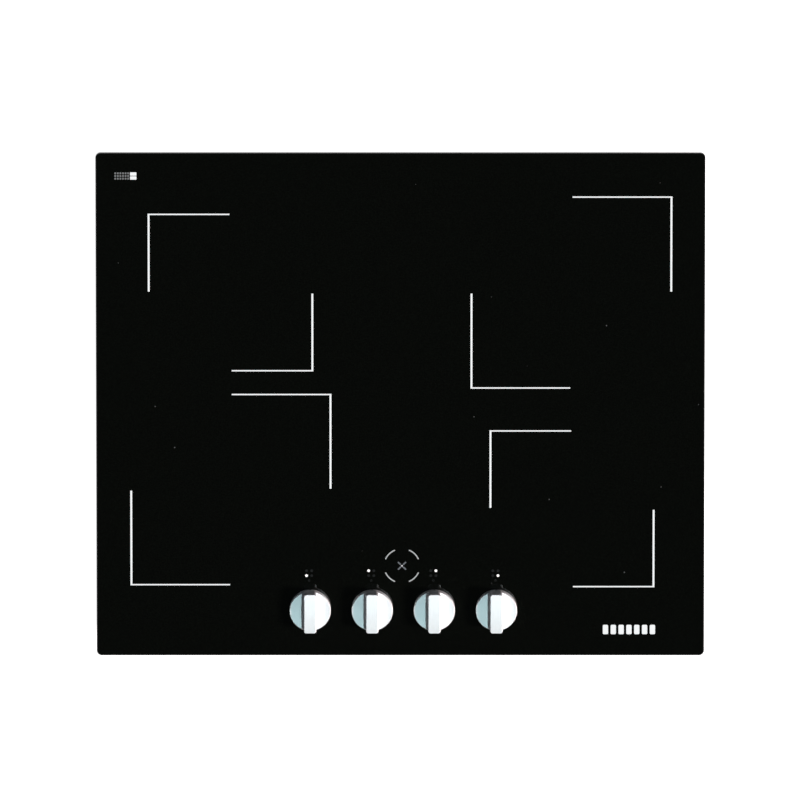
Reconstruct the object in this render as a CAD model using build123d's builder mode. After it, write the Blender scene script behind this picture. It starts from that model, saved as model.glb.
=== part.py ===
from build123d import *
import os

# Built-in induction cooktop with four rotary knobs, in millimetres.
# +Z is up, -Y is the front edge where the knobs stand, +X is to the user's right.
# The origin is the middle of the casing's underside, on the surface it stands on.

# Glass plate
GLASS_WIDTH = 590
GLASS_DEPTH = 510
GLASS_THICKNESS = 4
GLASS_CORNER_R = 5
GLASS_BOTTOM = 53
GLASS_TOP = GLASS_BOTTOM + GLASS_THICKNESS
GLASS_TOP_BEVEL = 0.8
GLASS_UNDER_BEVEL = 0.4

# Sheet-steel casing
SHEET = 1
TRAY_WIDTH = 552
TRAY_DEPTH = 470
TRAY_CORNER_R = 8
FLANGE_T = 1
TRAY_TOP = GLASS_BOTTOM - FLANGE_T
INNER_WIDTH = TRAY_WIDTH - 2 * SHEET
INNER_DEPTH = TRAY_DEPTH - 2 * SHEET
VENT_WIDTH = 3.5
VENT_HEIGHT = 22
VENT_PITCH = 9
VENT_COUNT = 14
VENT_Z = 24
VENT_X = (-170, 20)
GRILLE_MARGIN = 3
BEAD_LENGTH = 190
BEAD_WIDTH = 16
BEAD_RISE = 1.5

# Frame glued under the glass
FRAME_LIP = 2
FRAME_FLANGE_W = 14
FRAME_INNER_R = 4
SKIRT_HEIGHT = 8

# Seal on the worktop
SEAL_HEIGHT = 3
SEAL_WIDTH = 8
SEAL_INSET = 2.5
SEAL_INNER_R = 2

# Casing screws, their heads outside the side walls
SCREW_SHANK_R = 1.45
SCREW_HEAD_R = 2.8
SCREW_HEAD_H = 1.8
SCREW_LENGTH = 6
SIDE_SCREW_Z = 48
SIDE_SCREW_Y = (-200, -70, 70, 200)

# Leaf springs that hold the casing in the worktop cut-out
SPRING_WIDTH = 22
SPRING_THICKNESS = 1
SPRING_BULGE = 5.5
SPRING_Y = (-135, 135)
SPRING_SCREW_Z = 16
SPRING_FOOT_Z = 10
SPRING_BEND_Z = 22
SPRING_CREST_Z = 36
SPRING_TIP_Z = 45

# Cooking zones: centre x, centre y, coil radius
LARGE_COIL_R = 90
SMALL_COIL_R = 72.5
ZONES = {
    "front_left": (-164.5, -86, LARGE_COIL_R),
    "rear_left": (-164.5, 114, SMALL_COIL_R),
    "rear_right": (165.5, 114, LARGE_COIL_R),
    "front_right": (166.5, -105.5, SMALL_COIL_R),
}
LEAD_ANGLES = {"front_left": 45, "rear_left": 0, "rear_right": 180, "front_right": 90}
LEAD_R = 1.3
LEAD_SPREAD = 4
LEAD_STAND_OUT = 5
LEAD_BEND_R = 3
MICA_T = 0.8
WINDING_T = 4
FORMER_T = 3
FERRITE_T = 3.7
WINDING_INNER_R = 19
TURN_PITCH = 3.5
TURN_GROOVE = 1.2
FORMER_WALL = 1.5
FERRITE_WIDTH = 10
MICA_BOTTOM = GLASS_BOTTOM - MICA_T
WINDING_BOTTOM = MICA_BOTTOM - WINDING_T
FORMER_BOTTOM = WINDING_BOTTOM - FORMER_T
PLATE_TOP = FORMER_BOTTOM - FERRITE_T
PLATE_T = 1.5
PLATE_BOTTOM = PLATE_TOP - PLATE_T

# Aluminium plates that carry the coils, one on each side
PLATE_WIDTH = 218
PLATE_DEPTH = 400
PLATE_X = 153
PLATE_Y = 14
PLATE_FOLD = 5
PLATE_FOLD_INSET = 20
PLATE_AIR_HOLES = 8
PLATE_AIR_HOLE_R = 7
POST_R = 5
POST_X = (56, 250)
POST_Y = (-174, 180)
SHORT_POST_R = 3.5

# Power electronics, one board on each side
BOARD_T = 1.6
BOARD_WIDTH = 190
BOARD_DEPTH = 180
BOARD_X = 150
BOARD_Y = 60
BOARD_BOTTOM = 8
BOARD_TOP = BOARD_BOTTOM + BOARD_T
BOARD_CORNER_R = 3
BOARD_HOLE_R = 1.6
HOLE_INSET = 6
HEATSINK_WIDTH = 60
HEATSINK_DEPTH = 150
HEATSINK_HEIGHT = 26
HEATSINK_BASE = 5
FIN_COUNT = 8
FIN_T = 2
MODULE_COUNT = 5
MODULE_PITCH = 27
MODULE_T = 5
MODULE_WIDTH = 16
MODULE_HEIGHT = 20
LEG_LENGTH = 3
LEG_PITCH = 5.4
CAPACITOR_X = 85
CAPACITOR_HEIGHT = 24
CAN_HEIGHT = 26

# Mains filter, between the two power boards
FILTER_Y = 130
FILTER_WIDTH = 90
FILTER_DEPTH = 120
CHOKE_R = 14
CHOKE_WIRE_R = 6

# Cooling fans
FAN_SIZE = 80
FAN_HEIGHT = 26
FAN_Y = -85
FAN_BORE_R = 37
BLADE_TIP_R = 35.5
BLADE_COUNT = 7
FAN_HUB_R = 17
FAN_PIN_R = 2.5
FAN_HOLE_R = 2.2
FAN_HOLE_PITCH = 71
FAN_SPOKE_H = 2
STATOR_R = 12
STATOR_HEIGHT = 11
FAN_PIN_LENGTH = 9
CUP_BOTTOM = 5
CUP_TOP = 22
CUP_WALL = 3.5
CUP_ROOF = 2.5
BLADE_T = 1.6
BLADE_CHORD = 17
BLADE_PITCH_ANGLE = 38
RUNNING_GAP = 0.05

# Terminal box in the rear wall
BOX_X = (140, 248)
BOX_Z = (4, 38)
BOX_DEPTH = 44
BOX_WALL = 2
BOX_LIP = 1
BOX_LIP_MARGIN = 3
ACCESS_X = (144, 214)
GLAND_X = 232
GLAND_Z = 21
GLAND_BORE_R = 6
GLAND_BODY_R = 10
GLAND_FLANGE_R = 12
GLAND_FLANGE_T = 2.6
GLAND_LENGTH = 20
COVER_T = 2
HINGE_X = 140
HINGE_R = 1.4
HINGE_PIN_R = 0.8
KNUCKLE_HEIGHT = 6
POLE_COUNT = 5
POLE_PITCH = 12
BLOCK_WIDTH = 60
BLOCK_HEIGHT = 16
WIRE_HOLE_R = 1.9
CLAMP_SCREW_R = 2.5
CLAMP_SCREW_DEPTH = 6

# Controls
CONTROLS_X = 2.8
KNOB_PITCH = 60.3
KNOB_ORDER = ("front_left", "rear_left", "rear_right", "front_right")
KNOB_X = {zone: CONTROLS_X + (place - 1.5) * KNOB_PITCH for place, zone in enumerate(KNOB_ORDER)}
KNOB_Y = -207.2
SHAFT_R = 3
SHAFT_HOLE_R = 6
KNOB_R = 19.95
KNOB_BOTTOM = GLASS_TOP + 1
KNOB_DISC_EDGE = GLASS_TOP + 8
KNOB_DISC_MIDDLE = GLASS_TOP + 7.4
KNOB_RIM_BEVEL = 0.5
KNOB_GRIP_TOP = GLASS_TOP + 19
KNOB_GRIP_WIDTH = 12.1
KNOB_GRIP_LENGTH = 39.4
KNOB_GRIP_CORNER_R = 2.5
KNOB_GRIP_CROWN = 1
KNOB_GRIP_EDGE_R = 0.7
KNOB_SKIRT_WALL = 1.8
KNOB_HUB_R = 6.5
KNOB_HOLLOW = 3.5
SHAFT_TOP = GLASS_TOP + 13
SHAFT_FLAT_BOTTOM = GLASS_TOP + 3
SHAFT_FLAT_DEPTH = 1.5
CONTROL_BOARD_WIDTH = 250
CONTROL_BOARD_DEPTH = 44
CONTROL_STEM_WIDTH = 64
CONTROL_STEM_REACH = 16
CARRIER_T = 4
CARRIER_LEG_R = 4
GUIDE_Z = 44
GUIDE_ROD_R = 2.4
GUIDE_LEG_R = 1.8
LAMP_HEIGHT = 1.9
CONTROL_BOARD_BOTTOM = 34
CONTROL_BOARD_TOP = CONTROL_BOARD_BOTTOM + BOARD_T
ENCODER_TOP = 43
BUSH_TOP = 50
BUSH_R = 4.6
SWITCH_WIDTH = 16
SWITCH_BORE_BOTTOM = CONTROL_BOARD_TOP + 2
GROMMET_UNDER_R = 9
GROMMET_TOP_R = 8.5
GROMMET_UNDER_T = 1.5
GROMMET_TOP_T = 0.5
INDICATOR_X = 1.5
INDICATOR_Y = -163.5
LAMP_SPREAD = 3.6

REAR_WALL = TRAY_DEPTH / 2
SIDE_WALL = TRAY_WIDTH / 2
SIDES = {"left": -1, "right": 1}


def level(z, x=0, y=0):
    """A horizontal plane at height z, with its origin over (x, y)."""
    return Plane(origin=(x, y, z))


def facing_front(y):
    """A vertical plane at depth y, drawn in X and Z, whose normal points to the front."""
    return Plane(origin=(0, y, 0), x_dir=(1, 0, 0), z_dir=(0, -1, 0))


def middle(pair):
    return (pair[0] + pair[1]) / 2


def span(pair):
    return pair[1] - pair[0]


def save(builder, name):
    """Labels a finished piece and writes it as the node of that name."""
    builder.part.label = name
    export_step(builder.part, f"parts/{name}.step")


# ---------------------------------------------------------------- glass, seal and frame


def make_glass():
    with BuildPart() as glass:
        with BuildSketch(level(GLASS_BOTTOM)):
            RectangleRounded(GLASS_WIDTH, GLASS_DEPTH, GLASS_CORNER_R)
            with Locations(*[(x, KNOB_Y) for x in KNOB_X.values()]):
                Circle(SHAFT_HOLE_R, mode=Mode.SUBTRACT)
        extrude(amount=GLASS_THICKNESS)
        top = glass.faces().sort_by(Axis.Z)[-1]
        chamfer(top.outer_wire().edges(), GLASS_TOP_BEVEL)
        under = glass.faces().sort_by(Axis.Z)[0]
        chamfer(under.outer_wire().edges(), GLASS_UNDER_BEVEL)
    save(glass, "glass_plate")


def make_seal():
    outer_w = GLASS_WIDTH - 2 * SEAL_INSET
    outer_d = GLASS_DEPTH - 2 * SEAL_INSET
    with BuildPart() as seal:
        with BuildSketch(level(GLASS_BOTTOM - SEAL_HEIGHT)):
            RectangleRounded(outer_w, outer_d, GLASS_CORNER_R)
            RectangleRounded(
                outer_w - 2 * SEAL_WIDTH, outer_d - 2 * SEAL_WIDTH, SEAL_INNER_R, mode=Mode.SUBTRACT
            )
        extrude(amount=SEAL_HEIGHT)
    save(seal, "worktop_seal")


def make_frame():
    """Folded steel ring: a flat flange glued to the glass and a skirt inside the casing walls."""
    flange_w = TRAY_WIDTH + 2 * FRAME_LIP
    flange_d = TRAY_DEPTH + 2 * FRAME_LIP
    with BuildPart() as frame:
        with BuildSketch(level(TRAY_TOP)):
            RectangleRounded(flange_w, flange_d, TRAY_CORNER_R + FRAME_LIP)
            RectangleRounded(
                flange_w - 2 * FRAME_FLANGE_W,
                flange_d - 2 * FRAME_FLANGE_W,
                FRAME_INNER_R,
                mode=Mode.SUBTRACT,
            )
        extrude(amount=FLANGE_T)
        with BuildSketch(level(TRAY_TOP - SKIRT_HEIGHT)):
            RectangleRounded(INNER_WIDTH, INNER_DEPTH, TRAY_CORNER_R - SHEET)
            RectangleRounded(
                INNER_WIDTH - 2 * SHEET,
                INNER_DEPTH - 2 * SHEET,
                TRAY_CORNER_R - 2 * SHEET,
                mode=Mode.SUBTRACT,
            )
        extrude(amount=SKIRT_HEIGHT)
        with BuildSketch(Plane.YZ):
            with Locations(*[(y, SIDE_SCREW_Z) for y in SIDE_SCREW_Y]):
                Circle(SCREW_SHANK_R)
        extrude(amount=SIDE_WALL, both=True, mode=Mode.SUBTRACT)
    save(frame, "glass_frame")


# ---------------------------------------------------------------- casing


def make_tray():
    intake_rows = [row * 2 * VENT_WIDTH for row in range(-4, 5)]
    with BuildPart() as tray:
        with BuildSketch(level(0)):
            RectangleRounded(TRAY_WIDTH, TRAY_DEPTH, TRAY_CORNER_R)
        extrude(amount=TRAY_TOP)
        with BuildSketch(level(SHEET)):
            RectangleRounded(INNER_WIDTH, INNER_DEPTH, TRAY_CORNER_R - SHEET)
        extrude(amount=TRAY_TOP, mode=Mode.SUBTRACT)
        # Stiffening beads pressed up into the floor
        bead_places = [(0, -110), (0, 0), (-165, 205), (60, 205)]
        with BuildSketch(level(0)):
            with Locations(*bead_places):
                SlotOverall(BEAD_LENGTH, BEAD_WIDTH)
        extrude(amount=BEAD_RISE + SHEET)
        with BuildSketch(level(0)):
            with Locations(*bead_places):
                SlotOverall(BEAD_LENGTH - 2 * SHEET, BEAD_WIDTH - 2 * SHEET)
        extrude(amount=BEAD_RISE, mode=Mode.SUBTRACT)
        # Round grille of slots under each fan
        with BuildSketch(level(0)):
            for side in SIDES.values():
                for row in intake_rows:
                    with Locations((side * BOARD_X, FAN_Y + row)):
                        SlotOverall(2 * ((FAN_BORE_R**2 - row**2) ** 0.5 - GRILLE_MARGIN), VENT_WIDTH)
        extrude(amount=SHEET, mode=Mode.SUBTRACT)
        # Air slots in the front and rear walls
        with BuildSketch(facing_front(0)):
            with Locations(*[(x, VENT_Z) for x in VENT_X]):
                with GridLocations(VENT_PITCH, 0, VENT_COUNT, 1):
                    SlotOverall(VENT_HEIGHT, VENT_WIDTH, rotation=90)
        extrude(amount=REAR_WALL, both=True, mode=Mode.SUBTRACT)
        # Window for the terminal box
        with BuildSketch(facing_front(REAR_WALL)):
            with Locations((middle(BOX_X), middle(BOX_Z))):
                Rectangle(span(BOX_X), span(BOX_Z))
        extrude(amount=SHEET, mode=Mode.SUBTRACT)
        # Screw holes in the side walls
        with BuildSketch(Plane.YZ):
            with Locations(*[(y, SIDE_SCREW_Z) for y in SIDE_SCREW_Y]):
                Circle(SCREW_SHANK_R)
            with Locations(*[(y, SPRING_SCREW_Z) for y in SPRING_Y]):
                Circle(SCREW_SHANK_R)
        extrude(amount=SIDE_WALL, both=True, mode=Mode.SUBTRACT)
    save(tray, "housing_tray")


def make_casing_screws():
    """Pan-head screws through the side walls: four into the frame and two through the springs, each side."""
    with BuildPart() as screws:
        for side in SIDES.values():
            places = [(side * SIDE_WALL, y, SIDE_SCREW_Z) for y in SIDE_SCREW_Y]
            places += [(side * (SIDE_WALL + SPRING_THICKNESS), y, SPRING_SCREW_Z) for y in SPRING_Y]
            for place in places:
                seat = Plane(origin=place, x_dir=(0, 1, 0), z_dir=(side, 0, 0))
                with BuildSketch(seat):
                    Circle(SCREW_HEAD_R)
                extrude(amount=SCREW_HEAD_H)
                with BuildSketch(seat):
                    Circle(SCREW_SHANK_R)
                extrude(amount=-SCREW_LENGTH)
    save(screws, "casing_screws")


def make_mounting_springs():
    """Bent steel strips on the side walls, bulging out to grip the sides of the worktop cut-out."""
    with BuildPart() as springs:
        for side in SIDES.values():
            for y in SPRING_Y:
                with BuildSketch(facing_front(y + SPRING_WIDTH / 2)):
                    with BuildLine():
                        inner = side * SIDE_WALL
                        crest = side * (SIDE_WALL + SPRING_BULGE)
                        step = side * SPRING_THICKNESS
                        Polyline(
                            (inner, SPRING_FOOT_Z),
                            (inner, SPRING_BEND_Z + SPRING_THICKNESS),
                            (crest - step, SPRING_CREST_Z),
                            (inner + step, SPRING_TIP_Z),
                            (inner + 2 * step, SPRING_TIP_Z),
                            (crest, SPRING_CREST_Z),
                            (inner + step, SPRING_BEND_Z),
                            (inner + step, SPRING_FOOT_Z),
                            (inner, SPRING_FOOT_Z),
                        )
                    make_face()
                extrude(amount=SPRING_WIDTH)
            with BuildSketch(Plane.YZ):
                with Locations(*[(y, SPRING_SCREW_Z) for y in SPRING_Y]):
                    Circle(SCREW_SHANK_R)
            extrude(amount=SIDE_WALL + SPRING_BULGE, both=True, mode=Mode.SUBTRACT)
    save(springs, "mounting_springs")


# ---------------------------------------------------------------- coils


def lead_points(zone):
    """The two places, in plan, where a zone's coil leads go down to the board."""
    x, y, coil_r = ZONES[zone]
    outward = Vector(1, 0, 0).rotate(Axis.Z, LEAD_ANGLES[zone])
    across = outward.rotate(Axis.Z, 90)
    reach = coil_r + FORMER_WALL + LEAD_STAND_OUT
    return [Vector(x, y, 0) + outward * reach + across * (sign * LEAD_SPREAD) for sign in (-1, 1)]


def make_coil_plate(side):
    sign = SIDES[side]
    zones = [zone for zone in ZONES if zone.endswith(side)]
    with BuildPart() as plate:
        with BuildSketch(level(PLATE_BOTTOM, sign * PLATE_X, PLATE_Y)):
            RectangleRounded(PLATE_WIDTH, PLATE_DEPTH, 6)
        extrude(amount=PLATE_T)
        # Edges folded down to stiffen the plate
        for edge in (-1, 1):
            with BuildSketch(
                level(PLATE_BOTTOM - PLATE_FOLD, sign * PLATE_X + edge * (PLATE_WIDTH - PLATE_T) / 2, PLATE_Y)
            ):
                Rectangle(PLATE_T, PLATE_DEPTH - 2 * PLATE_FOLD_INSET)
            extrude(amount=PLATE_FOLD)
        # Holes for the coil leads, and air holes inside each coil
        with BuildSketch(level(PLATE_BOTTOM)):
            for zone in zones:
                x, y, coil_r = ZONES[zone]
                with Locations(*[(p.X, p.Y) for p in lead_points(zone)]):
                    Circle(2 * LEAD_R)
                with Locations((x, y)):
                    with PolarLocations(coil_r * 0.62, PLATE_AIR_HOLES, start_angle=180 / PLATE_AIR_HOLES):
                        Circle(PLATE_AIR_HOLE_R)
        extrude(amount=PLATE_T, mode=Mode.SUBTRACT)
    save(plate, f"coil_plate_{side}")


def make_support_posts():
    """Long posts carry the coil plates, short ones the two power boards and the filter board."""
    with BuildPart() as posts:
        for sign in SIDES.values():
            with BuildSketch(level(SHEET)):
                with Locations(*[(sign * x, y) for x in POST_X for y in POST_Y]):
                    Circle(POST_R)
            extrude(amount=PLATE_BOTTOM - SHEET)
            with BuildSketch(level(SHEET, sign * BOARD_X, BOARD_Y)):
                with GridLocations(BOARD_WIDTH - 2 * HOLE_INSET, BOARD_DEPTH - 2 * HOLE_INSET, 2, 2):
                    Circle(SHORT_POST_R)
            extrude(amount=BOARD_BOTTOM - SHEET)
        with BuildSketch(level(SHEET, 0, FILTER_Y)):
            with GridLocations(FILTER_WIDTH - 2 * HOLE_INSET, FILTER_DEPTH - 2 * HOLE_INSET, 2, 2):
                Circle(SHORT_POST_R)
        extrude(amount=BOARD_BOTTOM - SHEET)
    save(posts, "support_posts")


def make_coil_former(zone):
    """Plastic disc that the winding lies on, with rims round the winding and the ferrites."""
    x, y, coil_r = ZONES[zone]
    outer_r = coil_r + FORMER_WALL
    hub_r = WINDING_INNER_R - 1
    with BuildPart() as former:
        with BuildSketch(level(FORMER_BOTTOM, x, y)):
            Circle(outer_r)
            Circle(9, mode=Mode.SUBTRACT)
        extrude(amount=FORMER_T)
        with BuildSketch(level(WINDING_BOTTOM, x, y)):
            Circle(outer_r)
            Circle(coil_r, mode=Mode.SUBTRACT)
            Circle(hub_r)
            Circle(hub_r - FORMER_WALL, mode=Mode.SUBTRACT)
        extrude(amount=WINDING_T)
        with BuildSketch(level(PLATE_TOP, x, y)):
            Circle(outer_r)
            Circle(outer_r - 2 * FORMER_WALL, mode=Mode.SUBTRACT)
            Circle(15)
            Circle(12, mode=Mode.SUBTRACT)
        extrude(amount=FERRITE_T)
    save(former, f"coil_former_{zone}")


def make_winding(zone):
    """Flat coil of stranded wire, its turns marked by round grooves in the upper face."""
    x, y, coil_r = ZONES[zone]
    outer_r = coil_r - 0.5
    turns = int((outer_r - WINDING_INNER_R) / TURN_PITCH)
    pitch = (outer_r - WINDING_INNER_R) / turns
    outline = [(outer_r, WINDING_BOTTOM), (outer_r, MICA_BOTTOM - TURN_GROOVE)]
    for turn in range(turns):
        crown = outer_r - turn * pitch
        outline.append((crown - 0.25 * pitch, MICA_BOTTOM))
        outline.append((crown - 0.75 * pitch, MICA_BOTTOM))
        outline.append((crown - pitch, MICA_BOTTOM - TURN_GROOVE))
    outline.append((WINDING_INNER_R, WINDING_BOTTOM))
    with BuildPart() as winding:
        with BuildSketch(Plane(origin=(x, y, 0), x_dir=(1, 0, 0), z_dir=(0, -1, 0))):
            with BuildLine():
                Polyline(*outline, close=True)
            make_face()
        revolve(axis=Axis((x, y, 0), (0, 0, 1)))
    save(winding, f"coil_winding_{zone}")


def make_ferrites():
    """Radial ferrite bars lying between each former and its plate."""
    with BuildPart() as ferrites:
        for x, y, coil_r in ZONES.values():
            count = 8 if coil_r == LARGE_COIL_R else 6
            inner_r = 18
            outer_r = coil_r - 4
            with BuildSketch(level(PLATE_TOP, x, y)):
                with PolarLocations((inner_r + outer_r) / 2, count):
                    Rectangle(outer_r - inner_r, FERRITE_WIDTH)
            extrude(amount=FERRITE_T)
    save(ferrites, "ferrite_bars")


def make_mica(zone):
    x, y, coil_r = ZONES[zone]
    with BuildPart() as mica:
        with BuildSketch(level(MICA_BOTTOM, x, y)):
            Circle(coil_r + FORMER_WALL)
            Circle(7, mode=Mode.SUBTRACT)
        extrude(amount=MICA_T)
    save(mica, f"mica_disc_{zone}")


def make_sensor(zone):
    """Sprung temperature probe in the middle of the coil, its soft head against the glass."""
    x, y, _ = ZONES[zone]
    with BuildPart() as sensor:
        with BuildSketch(level(PLATE_TOP, x, y)):
            Circle(6)
        extrude(amount=WINDING_BOTTOM - PLATE_TOP)
        with BuildSketch(level(WINDING_BOTTOM, x, y)):
            Circle(4.5)
        extrude(amount=GLASS_BOTTOM - WINDING_BOTTOM)
    save(sensor, f"temperature_sensor_{zone}")


def make_coil_leads():
    """Two insulated leads from each coil, out over the rim and down to the power board."""
    lead_z = WINDING_BOTTOM + WINDING_T / 2
    with BuildPart() as leads:
        for zone in ZONES:
            outward = Vector(1, 0, 0).rotate(Axis.Z, LEAD_ANGLES[zone])
            for point in lead_points(zone):
                start = point - outward * LEAD_STAND_OUT + Vector(0, 0, lead_z)
                corner = point + Vector(0, 0, lead_z)
                foot = point + Vector(0, 0, BOARD_TOP)
                with BuildLine():
                    FilletPolyline(start, corner, foot, radius=LEAD_BEND_R)
                with BuildSketch(Plane(origin=start, z_dir=outward)):
                    Circle(LEAD_R)
                sweep()
    save(leads, "coil_leads")


# ---------------------------------------------------------------- electronics


def make_power_board(side):
    x = SIDES[side] * BOARD_X
    with BuildPart() as board:
        with BuildSketch(level(BOARD_BOTTOM, x, BOARD_Y)):
            RectangleRounded(BOARD_WIDTH, BOARD_DEPTH, BOARD_CORNER_R)
            with GridLocations(BOARD_WIDTH - 2 * HOLE_INSET, BOARD_DEPTH - 2 * HOLE_INSET, 2, 2):
                Circle(BOARD_HOLE_R, mode=Mode.SUBTRACT)
        extrude(amount=BOARD_T)
    save(board, f"power_board_{side}")


def make_heatsink(side):
    x = SIDES[side] * BOARD_X
    fin_pitch = (HEATSINK_WIDTH - FIN_T) / (FIN_COUNT - 1)
    with BuildPart() as heatsink:
        with BuildSketch(level(BOARD_TOP, x, BOARD_Y)):
            Rectangle(HEATSINK_WIDTH, HEATSINK_DEPTH)
        extrude(amount=HEATSINK_BASE)
        with BuildSketch(level(BOARD_TOP + HEATSINK_BASE, x, BOARD_Y)):
            with GridLocations(fin_pitch, 0, FIN_COUNT, 1):
                Rectangle(FIN_T, HEATSINK_DEPTH)
        extrude(amount=HEATSINK_HEIGHT - HEATSINK_BASE)
    save(heatsink, f"heatsink_{side}")


def make_power_modules(side):
    """Flat power transistors standing on three legs against the heatsink's outer fin."""
    sign = SIDES[side]
    x = sign * (BOARD_X + HEATSINK_WIDTH / 2 + MODULE_T / 2)
    with BuildPart() as modules:
        with BuildSketch(level(BOARD_TOP + LEG_LENGTH, x, BOARD_Y)):
            with GridLocations(0, MODULE_PITCH, 1, MODULE_COUNT):
                Rectangle(MODULE_T, MODULE_WIDTH)
        extrude(amount=MODULE_HEIGHT)
        with BuildSketch(level(BOARD_TOP, x, BOARD_Y)):
            with GridLocations(0, MODULE_PITCH, 1, MODULE_COUNT):
                with GridLocations(0, LEG_PITCH, 1, 3):
                    Rectangle(1, 1.3)
        extrude(amount=LEG_LENGTH)
    save(modules, f"power_modules_{side}")


def make_capacitors(side):
    """Three boxed film capacitors and one round one, beside the heatsink."""
    x = SIDES[side] * CAPACITOR_X
    with BuildPart() as capacitors:
        with BuildSketch(level(BOARD_TOP, x, 46)):
            with GridLocations(0, 30, 1, 3):
                RectangleRounded(28, 16, 1.5)
        extrude(amount=CAPACITOR_HEIGHT)
        with BuildSketch(level(BOARD_TOP, x, 136)):
            Circle(9)
        extrude(amount=CAN_HEIGHT)
    save(capacitors, f"board_capacitors_{side}")


def make_fan_housing(side):
    """Square frame with three spokes that carry the motor's stator and its pin."""
    x = SIDES[side] * BOARD_X
    stator_foot = SHEET + FAN_SPOKE_H
    with BuildPart() as housing:
        with BuildSketch(level(SHEET, x, FAN_Y)):
            RectangleRounded(FAN_SIZE, FAN_SIZE, 4)
            Circle(FAN_BORE_R, mode=Mode.SUBTRACT)
            with GridLocations(FAN_HOLE_PITCH, FAN_HOLE_PITCH, 2, 2):
                Circle(FAN_HOLE_R, mode=Mode.SUBTRACT)
        extrude(amount=FAN_HEIGHT)
        with BuildSketch(level(SHEET, x, FAN_Y)):
            with PolarLocations(FAN_BORE_R / 2 + 1, 3, start_angle=90):
                Rectangle(FAN_BORE_R, 4)
            Circle(STATOR_R + 2)
        extrude(amount=FAN_SPOKE_H)
        with BuildSketch(level(stator_foot, x, FAN_Y)):
            Circle(STATOR_R)
        extrude(amount=STATOR_HEIGHT)
        with BuildSketch(level(stator_foot + STATOR_HEIGHT, x, FAN_Y)):
            Circle(FAN_PIN_R)
        extrude(amount=FAN_PIN_LENGTH)
    save(housing, f"fan_housing_{side}")


def make_impeller(side):
    """Cup-shaped hub that turns on the housing's pin, with pitched blades round it."""
    x = SIDES[side] * BOARD_X
    blade_root = FAN_HUB_R - 1
    with BuildPart() as impeller:
        with Locations((x, FAN_Y, (CUP_BOTTOM + CUP_TOP - 1) / 2)):
            with PolarLocations((blade_root + BLADE_TIP_R) / 2, BLADE_COUNT):
                Box(BLADE_TIP_R - blade_root, BLADE_T, BLADE_CHORD, rotation=(BLADE_PITCH_ANGLE, 0, 0))
        with BuildSketch(level(CUP_BOTTOM, x, FAN_Y)):
            Circle(FAN_HUB_R)
        extrude(amount=CUP_TOP - CUP_BOTTOM)
        with BuildSketch(level(CUP_BOTTOM, x, FAN_Y)):
            Circle(FAN_HUB_R - CUP_WALL)
        extrude(amount=CUP_TOP - CUP_ROOF - CUP_BOTTOM, mode=Mode.SUBTRACT)
        with BuildSketch(level(CUP_BOTTOM, x, FAN_Y)):
            Circle(FAN_PIN_R + RUNNING_GAP)
        extrude(amount=CUP_TOP, mode=Mode.SUBTRACT)
    save(impeller, f"fan_impeller_{side}")


def make_filter():
    """Mains filter board, and on it two ring chokes, two boxed capacitors and a fuse holder."""
    with BuildPart() as board:
        with BuildSketch(level(BOARD_BOTTOM, 0, FILTER_Y)):
            RectangleRounded(FILTER_WIDTH, FILTER_DEPTH, BOARD_CORNER_R)
            with GridLocations(FILTER_WIDTH - 2 * HOLE_INSET, FILTER_DEPTH - 2 * HOLE_INSET, 2, 2):
                Circle(BOARD_HOLE_R, mode=Mode.SUBTRACT)
        extrude(amount=BOARD_T)
    save(board, "filter_board")
    with BuildPart() as filter_parts:
        with Locations(*[(0, y, BOARD_TOP + CHOKE_WIRE_R) for y in (105, 150)]):
            Torus(CHOKE_R, CHOKE_WIRE_R)
        with BuildSketch(level(BOARD_TOP)):
            with Locations((-31, 128), (31, 128)):
                RectangleRounded(14, 30, 1.5)
        extrude(amount=20)
        with BuildSketch(level(BOARD_TOP)):
            with Locations((0, 178)):
                Rectangle(40, 9)
        extrude(amount=9)
    save(filter_parts, "mains_filter_parts")


# ---------------------------------------------------------------- terminal box


def make_terminal_box():
    """Open-backed plastic box set into the rear wall, with a lip outside and two hinge knuckles."""
    lip_back = REAR_WALL + BOX_LIP
    with BuildPart() as box:
        with BuildSketch(facing_front(REAR_WALL)):
            with Locations((middle(BOX_X), middle(BOX_Z))):
                Rectangle(span(BOX_X), span(BOX_Z))
        extrude(amount=BOX_DEPTH)
        with BuildSketch(facing_front(lip_back)):
            with Locations((middle(BOX_X), middle(BOX_Z))):
                Rectangle(span(BOX_X) + 2 * BOX_LIP_MARGIN, span(BOX_Z) + BOX_LIP_MARGIN)
        extrude(amount=BOX_LIP)
        # The room inside, the access opening and the hole for the gland
        with BuildSketch(facing_front(REAR_WALL - BOX_WALL)):
            with Locations((middle(BOX_X), middle(BOX_Z))):
                Rectangle(span(BOX_X) - 2 * BOX_WALL, span(BOX_Z) - 2 * BOX_WALL)
        extrude(amount=BOX_DEPTH - 2 * BOX_WALL, mode=Mode.SUBTRACT)
        with BuildSketch(facing_front(lip_back)):
            with Locations((middle(ACCESS_X), middle(BOX_Z))):
                Rectangle(span(ACCESS_X), span(BOX_Z) - 2 * BOX_WALL)
            with Locations((GLAND_X, GLAND_Z)):
                Circle(GLAND_BODY_R)
        extrude(amount=BOX_LIP + BOX_WALL, mode=Mode.SUBTRACT)
        # Knuckles for the cover, above and below its barrel
        for z in (BOX_Z[0] + 1, BOX_Z[1] - 1 - KNUCKLE_HEIGHT):
            with BuildSketch(level(z, HINGE_X, lip_back + HINGE_R)):
                Circle(HINGE_R)
                with Locations((0, -HINGE_R / 2)):
                    Rectangle(2 * HINGE_R, HINGE_R)
                Circle(HINGE_PIN_R + RUNNING_GAP, mode=Mode.SUBTRACT)
            extrude(amount=KNUCKLE_HEIGHT)
    save(box, "terminal_box")


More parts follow.
